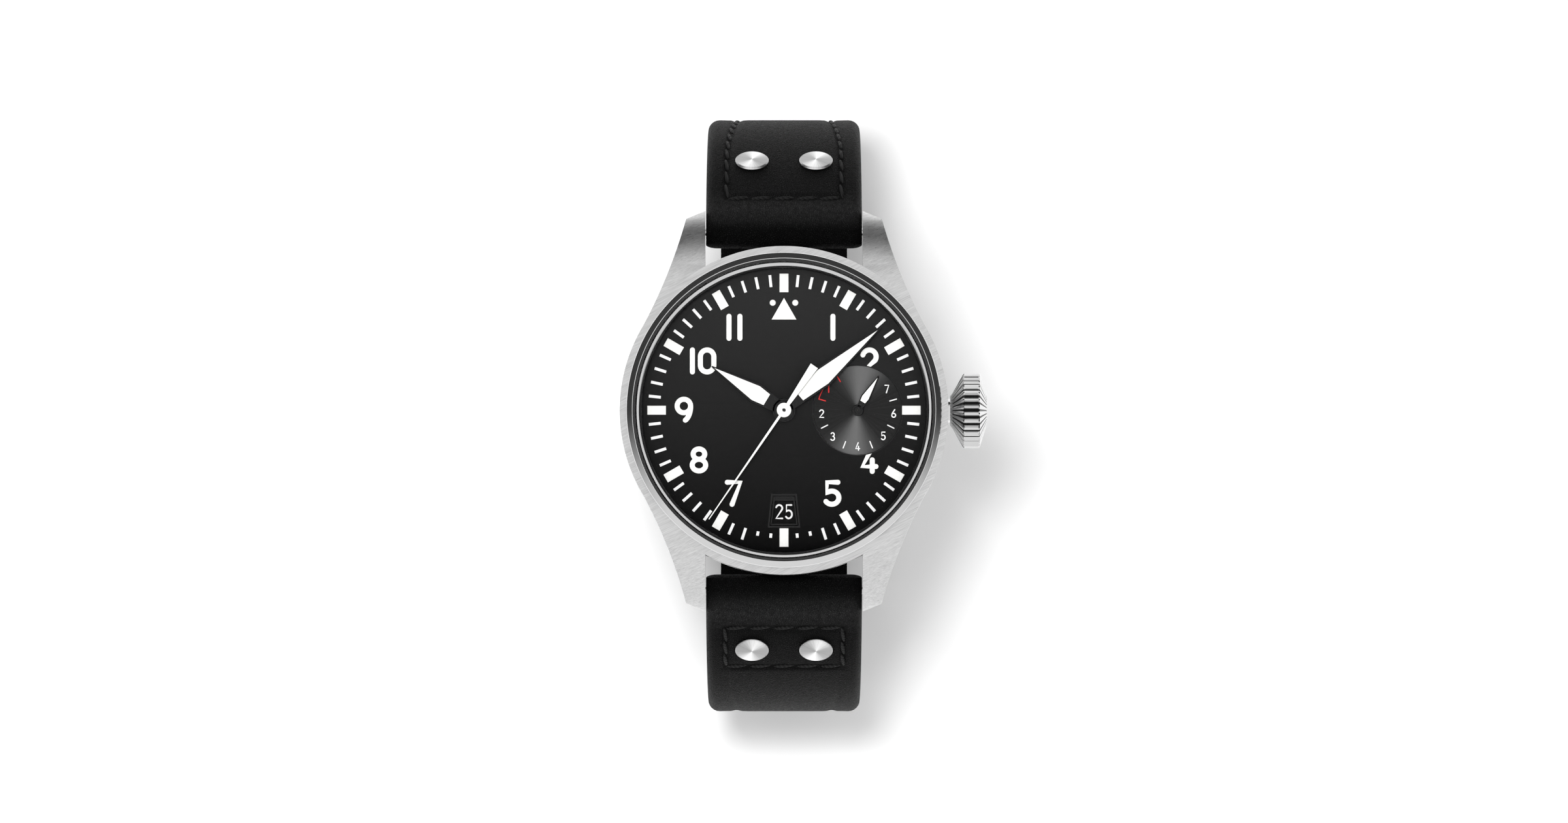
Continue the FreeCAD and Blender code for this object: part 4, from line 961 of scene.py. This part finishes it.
# The pairs of narrowFrom, taperFrom and seamFrom are a height and the drop over which it happens.
strapForm = {"width": 22.0, "horizonWidth": 21.5, "endWidth": 18.0, "edge": 1.61, "roll": 2.3, "end": 3.2,
             "narrowFrom": (4, 32), "taperFrom": (-28, 22), "seamFrom": (-6, 22), "bar": (25.3, 2.8),
             "topBend": 42.0, "cornerBend": 25.0, "bottomBend": 75.0,
             "bendSteps": 130, "cornerSteps": 44, "bottomSteps": 14, "endSteps": 8, "edgeStep": 15}
seamForm = {"depth": 0.32, "width": 0.6, "fade": 0.8, "flatten": 0.45, "flattenOver": 1.5, "openEnd": 0.6,
            "inside": (0.0, 0.22, 0.44, 0.62, 0.76),
            "beside": (-0.9, -0.62, -0.38, -0.14, 0.14, 0.38, 0.62, 0.9)}
halves = {
    "upper": {"node": "strap_12", "name": "leather_strap_12", "heads": "rivet_heads_12",
              "rivets": "rivets_12", "body": "strap_upper", "turn": 0.0, "endAngle": 13.2,
              "seamSide": 8.1, "seamLow": 6.6, "seamStart": 30.3, "seamEnd": None, "rivetReach": 35.5},
    "lower": {"node": "strap_6", "name": "leather_strap_6", "heads": "rivet_heads_6",
              "rivets": "rivets_6", "body": "strap_lower", "turn": math.pi, "endAngle": 14.2,
              "seamSide": 8.3, "seamLow": 6.75, "seamStart": 30.65, "seamEnd": 35.95, "rivetReach": 33.5},
}


def bendCentres():
    # Heights of the centres of the top and bottom bends, which meet the corner bend smoothly.
    form = strapForm
    reach, height = form["bar"]
    top = height - math.sqrt((form["topBend"] - form["roll"]) ** 2 - reach ** 2)
    toCorner = form["topBend"] - form["cornerBend"]
    return top, top + math.sqrt((form["bottomBend"] - form["cornerBend"]) ** 2 - toCorner ** 2)


topCentre, bottomCentre = bendCentres()


def faceOutline(half):
    # The outer face seen from the side, from the roll to the end: (reach, height).
    form = strapForm
    top, corner, bottom = form["topBend"], form["cornerBend"], form["bottomBend"]
    barReach, barHeight = form["bar"]
    lean = math.degrees(math.atan2(barHeight - topCentre, barReach))
    meeting = math.degrees(math.asin((top - corner) / (bottom - corner))) - 90
    stop = half["endAngle"] - 90
    outer = arcPoints(0, topCentre, top, top, lean, 0, form["bendSteps"])
    outer += arcPoints(top - corner, topCentre, corner, corner, 0, meeting, form["cornerSteps"])[1:]
    outer += arcPoints(0, bottomCentre, bottom, bottom, meeting, stop, form["bottomSteps"])[1:]
    return outer


def smoothStep(share):
    share = min(1.0, max(0.0, share))
    return share * share * (3 - 2 * share)


def lowered(height, start, drop):
    return smoothStep((start - height) / drop)


def bell(distance, width):
    return math.exp(-(distance / width) ** 2)


def halfWidth(height):
    form = strapForm
    roll, horizon, end = form["width"] / 2, form["horizonWidth"] / 2, form["endWidth"] / 2
    if height > form["taperFrom"][0]:
        return roll + (horizon - roll) * lowered(height, *form["narrowFrom"])
    return horizon + (end - horizon) * lowered(height, *form["taperFrom"])


# The side seams draw in towards the middle where the strap bends down.
def seamOffset(half, height):
    low = half["seamLow"] * halfWidth(height) / (strapForm["horizonWidth"] / 2)
    return half["seamSide"] + (low - half["seamSide"]) * lowered(height, *strapForm["seamFrom"])


def seamDepth(half, across, height, run, runs):
    width, fade = seamForm["width"], seamForm["fade"]
    seam = seamOffset(half, height)
    side = bell(abs(across) - seam, width) * smoothStep((run - runs["start"] + fade) / fade)
    within = smoothStep((seam + fade - abs(across)) / fade)
    cross = bell(run - runs["start"], width) * within
    if half["seamEnd"]:
        past = run - runs["stop"]
        cross = max(cross, bell(past, width) * within)
        side *= 1 - seamForm["flatten"] * smoothStep(past / seamForm["flattenOver"])
    return seamForm["depth"] * max(side, cross)


def runLengths(points):
    runs = [0.0]
    for first, second in zip(points, points[1:]):
        runs.append(runs[-1] + math.dist(first, second))
    return runs


def runAt(outer, lengths, reach):
    for point, length in zip(outer, lengths):
        if point[0] >= reach:
            return length
    return lengths[-1]


def strapRow(half, height):
    # Places across one half of the width: (offset, drop below the face).
    seam, side, edge = seamOffset(half, height), halfWidth(height), strapForm["edge"]
    row = [(seam * share, 0.0) for share in seamForm["inside"]]
    row += [(seam + offset, 0.0) for offset in seamForm["beside"]]
    for angle in range(0, 91, strapForm["edgeStep"]):
        turn = math.radians(angle)
        row.append((side - edge * (1 - math.sin(turn)), edge * (1 - math.cos(turn))))
    return row


def roundEnd(station, side):
    outerSpot, innerSpot, run, _ = station
    centre = (outerSpot + innerSpot) / 2
    up = outerSpot - centre
    outward = Vector((-up.y, up.x)) if side < 0 else Vector((up.y, -up.x))
    steps = strapForm["endSteps"]
    ends = []
    for step in range(1, steps + 1):
        turn = math.pi / 2 * step / steps
        tip = centre + outward * math.sin(turn)
        lift = up * math.cos(turn)
        ends.append((tip + lift, tip - lift, run + side * up.length * turn, step / steps))
    return ends[::-1] if side < 0 else ends


def strapStations(outer, lengths):
    # Along the strap: outer point, inner point, run, and how far the inner face is rounded too.
    thick, thin = 2 * strapForm["roll"], strapForm["end"]
    stations = []
    for index, point in enumerate(outer):
        before, after = outer[max(index - 1, 0)], outer[min(index + 1, len(outer) - 1)]
        along = Vector((after[0] - before[0], after[1] - before[1])).normalized()
        inward = Vector((along.y, -along.x))
        thickness = thick + (thin - thick) * smoothStep(lengths[index] / lengths[-1])
        spot = Vector(point)
        stations.append((spot, spot + inward * thickness, lengths[index], 0.0))
    return [*roundEnd(stations[0], -1), *stations, *roundEnd(stations[-1], 1)]


def strapRing(half, station, runs):
    # One closed loop round the strap: (offset, spot, how far down the edge for the leather's map).
    outerSpot, innerSpot, run, rounding = station
    height = (outerSpot.y + innerSpot.y) / 2
    across = innerSpot - outerSpot
    thickness = across.length
    inward = across.normalized() if thickness > 0.01 else Vector((0, 0))
    row = strapRow(half, height)
    ring = []
    for offset, drop in row:
        depth = min(drop + seamDepth(half, offset, height, run, runs), thickness / 2)
        ring.append((offset, outerSpot + inward * depth, drop))
    for offset, drop in reversed(row):
        depth = min(drop * rounding, thickness / 2)
        ring.append((offset, innerSpot - inward * depth, thickness))
    return [(-offset, spot, -down) for offset, spot, down in ring[:0:-1] if offset > 0] + ring


def strapMesh(half, stations, runs):
    vertices, marks, faces = [], [], []
    for station in stations:
        ring = strapRing(half, station, runs)
        vertices += [(offset * mm, spot.x * mm, spot.y * mm) for offset, spot, _ in ring]
        marks += [((offset + down) * mm, station[2] * mm) for offset, _, down in ring]
    wide = len(vertices) // len(stations)
    for index in range(len(stations) - 1):
        low, high = index * wide, (index + 1) * wide
        for step in range(wide):
            after = (step + 1) % wide
            faces.append((low + step, low + after, high + after, high + step))
    mesh = bpy.data.meshes.new("strap")
    mesh.from_pydata(vertices, [], faces)
    layer = mesh.uv_layers.new(name="leather")
    for loop in mesh.loops:
        layer.data[loop.index].uv = marks[loop.vertex_index]
    return mesh


def makeStrap(half):
    outer = faceOutline(half)
    lengths = runLengths(outer)
    runs = {"start": runAt(outer, lengths, half["seamStart"]), "stop": lengths[-1] * seamForm["openEnd"]}
    if half["seamEnd"]:
        runs["stop"] = runAt(outer, lengths, half["seamEnd"])
    mesh = strapMesh(half, strapStations(outer, lengths), runs)
    piece = closeShell(linkPiece("strap", mesh))
    piece.rotation_euler = (0, 0, half["turn"])
    finishPiece(piece, half["name"], "leather", half["body"], [half["node"]], 60)
    return outer, lengths, runs


# Stitches lie in the drawn-in line, each a short twisted length of thread.
threadForm = {"radius": 0.3, "depth": 0.3, "pitch": 3.2, "length": 3.0, "slant": 7.0, "sides": 14}


def pointOnFace(outer, lengths, run):
    for index in range(1, len(outer)):
        if lengths[index] >= run or index == len(outer) - 1:
            share = (run - lengths[index - 1]) / (lengths[index] - lengths[index - 1])
            first, second = Vector(outer[index - 1]), Vector(outer[index])
            return first.lerp(second, share), (second - first).normalized()


def stitchPlaces(half, runs):
    # Each stitch as (share of the way out to the side seam, run along the strap, lengthwise).
    pitch, start, stop = threadForm["pitch"], runs["start"], runs["stop"]
    count = max(1, round((stop - start) / pitch))
    step = (stop - start) / count
    places = [(side, start + (index + 0.5) * step, True) for side in (-1, 1) for index in range(count)]
    crossCount = round(2 * half["seamSide"] / pitch)
    for run in (start, stop) if half["seamEnd"] else (start,):
        places += [((index + 0.5) * 2 / crossCount - 1, run, False) for index in range(crossCount)]
    return places


def makeStitch(offset, place, along, lengthwise):
    form = threadForm
    clearSelection()
    bpy.ops.mesh.primitive_uv_sphere_add(segments=form["sides"], ring_count=form["sides"], radius=1.0)
    stitch = bpy.context.object
    radius, half = form["radius"] * mm, form["length"] / 2 * mm
    stitch.data.transform(Matrix.Diagonal((radius, half, radius, 1)))
    forward = Vector((0, along.x, along.y)) if lengthwise else Vector((1, 0, 0))
    outward = Vector((0, -along.y, along.x))
    turn = Matrix((forward.cross(outward), forward, outward)).transposed().to_4x4()
    slant = Matrix.Rotation(math.radians(form["slant"]), 4, "Z")
    stitch.matrix_world = Matrix.Translation(Vector((offset, place.x, place.y)) * mm) @ turn @ slant
    return applyPlace(stitch)


def makeStitches(half, outer, lengths, runs):
    stitches = []
    for share, run, lengthwise in stitchPlaces(half, runs):
        spot, along = pointOnFace(outer, lengths, run)
        place = spot + Vector((along.y, -along.x)) * threadForm["depth"]
        stitches.append(makeStitch(share * seamOffset(half, spot.y), place, along, lengthwise))
    whole = joinPieces(stitches)
    whole.rotation_euler = (0, 0, half["turn"])
    finishPiece(whole, "stitches_" + half["node"], "thread", half["body"], smoothAngle=60)


rivetForm = {"spacing": 9.05, "sides": 96,
             "rings": [(2.36, 0.02), (2.4, 0.12), (2.36, 0.24), (2.2, 0.36), (2.1, 0.38), (0.02, 0.42)]}


def mapFromAbove(piece):
    # Only one map, centred on the head's own axis, for its turned finish.
    while piece.data.uv_layers:
        piece.data.uv_layers.remove(piece.data.uv_layers[0])
    layer = piece.data.uv_layers.new(name="above")
    for loop in piece.data.loops:
        spot = piece.data.vertices[loop.vertex_index].co
        layer.data[loop.index].uv = (spot.x, spot.y)


def makeRivets(half):
    form, reach, bend = rivetForm, half["rivetReach"], strapForm["topBend"]
    lean = math.asin(reach / bend)
    height = topCentre + bend * math.cos(lean)
    heads = []
    for side in (-1, 1):
        head = turnRings(form["rings"], form["sides"])
        mapFromAbove(head)
        head.rotation_euler = (-lean, 0, 0)
        head.location = (side * form["spacing"] / 2 * mm, reach * mm, height * mm)
        heads.append(applyPlace(head))
    whole = joinPieces(heads)
    whole.rotation_euler = (0, 0, half["turn"])
    finishPiece(whole, half["heads"], "turned", half["body"], [half["rivets"]], 25)


for half in halves.values():
    outerFace, outerRuns, seamRuns = makeStrap(half)
    makeStitches(half, outerFace, outerRuns, seamRuns)
    makeRivets(half)
print("stage: strap made")


# Floor, light and camera

studio = {"size": 1600.0, "floorColour": 0.93, "floorGap": 0.2, "pictureWidth": 2400, "pixelsPerMm": 10.87,
          "distance": 4300.0, "drop": -87.0, "aim": -0.18, "dialLevel": 10.7, "sensor": 36.0,
          "nearest": 0.1, "farthest": 20.0, "lamp": (-58, 62, 620), "lampSize": 120, "lampPower": 3.0,
          "bright": 1.0, "dark": 0.06, "band": (0.3, 0.78), "turn": (-0.75, 0.05)}


def makeFloor():
    clearSelection()
    level = cadBox[0][2] - studio["floorGap"] * mm
    bpy.ops.mesh.primitive_plane_add(size=studio["size"] * mm, location=(0, 0, level))
    floor = bpy.context.object
    floor.name = "floor"
    recipe = Recipe("paleFloor", "rubber", Roughness=0.9, Base_Color=grey(studio["floorColour"]))
    floor.data.materials.append(recipe.material)


def makeLamp():
    clearSelection()
    bpy.ops.object.light_add(type="AREA", location=[value * mm for value in studio["lamp"]])
    lamp = bpy.context.object
    lamp.name = "keyLamp"
    lamp.data.shape = "RECTANGLE"
    lamp.data.size = studio["lampSize"] * mm
    lamp.data.size_y = studio["lampSize"] * mm
    lamp.data.energy = studio["lampPower"]
    lamp.visible_glossy = False
    lamp.rotation_euler = (-lamp.location).to_track_quat("-Z", "Y").to_euler()


def makeWorld():
    # Bright overhead and towards six, with a dark band low down round the rest; the camera sees white.
    world = bpy.data.worlds.new("studio")
    bpy.context.scene.world = world
    world.use_nodes = True
    sky = NodeTree(world.node_tree)

    def ramp(part, start, stop):
        return sky.node("ShaderNodeMapRange", {"interpolation_type": "SMOOTHSTEP"},
                        {"Value": part, "From Min": start, "From Max": stop})

    _, towardsTwelve, up = sky.parts(sky.node("ShaderNodeTexCoord", output="Generated"))
    dark = (1.0 - ramp(up, *studio["band"])) * ramp(towardsTwelve, *studio["turn"])
    light = sky.blend(dark, grey(studio["bright"]), grey(studio["dark"]))
    seen = sky.blend(sky.node("ShaderNodeLightPath", output="Is Camera Ray"), light, grey(1.0))
    sky.links.new(seen.output, sky.nodes["Background"].inputs["Color"])


def makeCamera():
    form, level = studio, studio["dialLevel"]
    place = (0, form["drop"] * mm, (form["distance"] + level) * mm)
    bpy.ops.object.camera_add(location=place)
    camera = bpy.context.object
    camera.name = "camera"
    target = Vector((0, form["aim"], level)) * mm
    camera.rotation_euler = (target - camera.location).to_track_quat("-Z", "Y").to_euler()
    camera.data.sensor_width = form["sensor"]
    camera.data.lens = form["sensor"] * form["distance"] / (form["pictureWidth"] / form["pixelsPerMm"])
    camera.data.clip_start = form["nearest"]
    camera.data.clip_end = form["farthest"]
    bpy.context.scene.camera = camera


makeFloor()
makeLamp()
makeWorld()
makeCamera()
bpy.context.scene.view_settings.view_transform = "Standard"
print("stage: studio made")
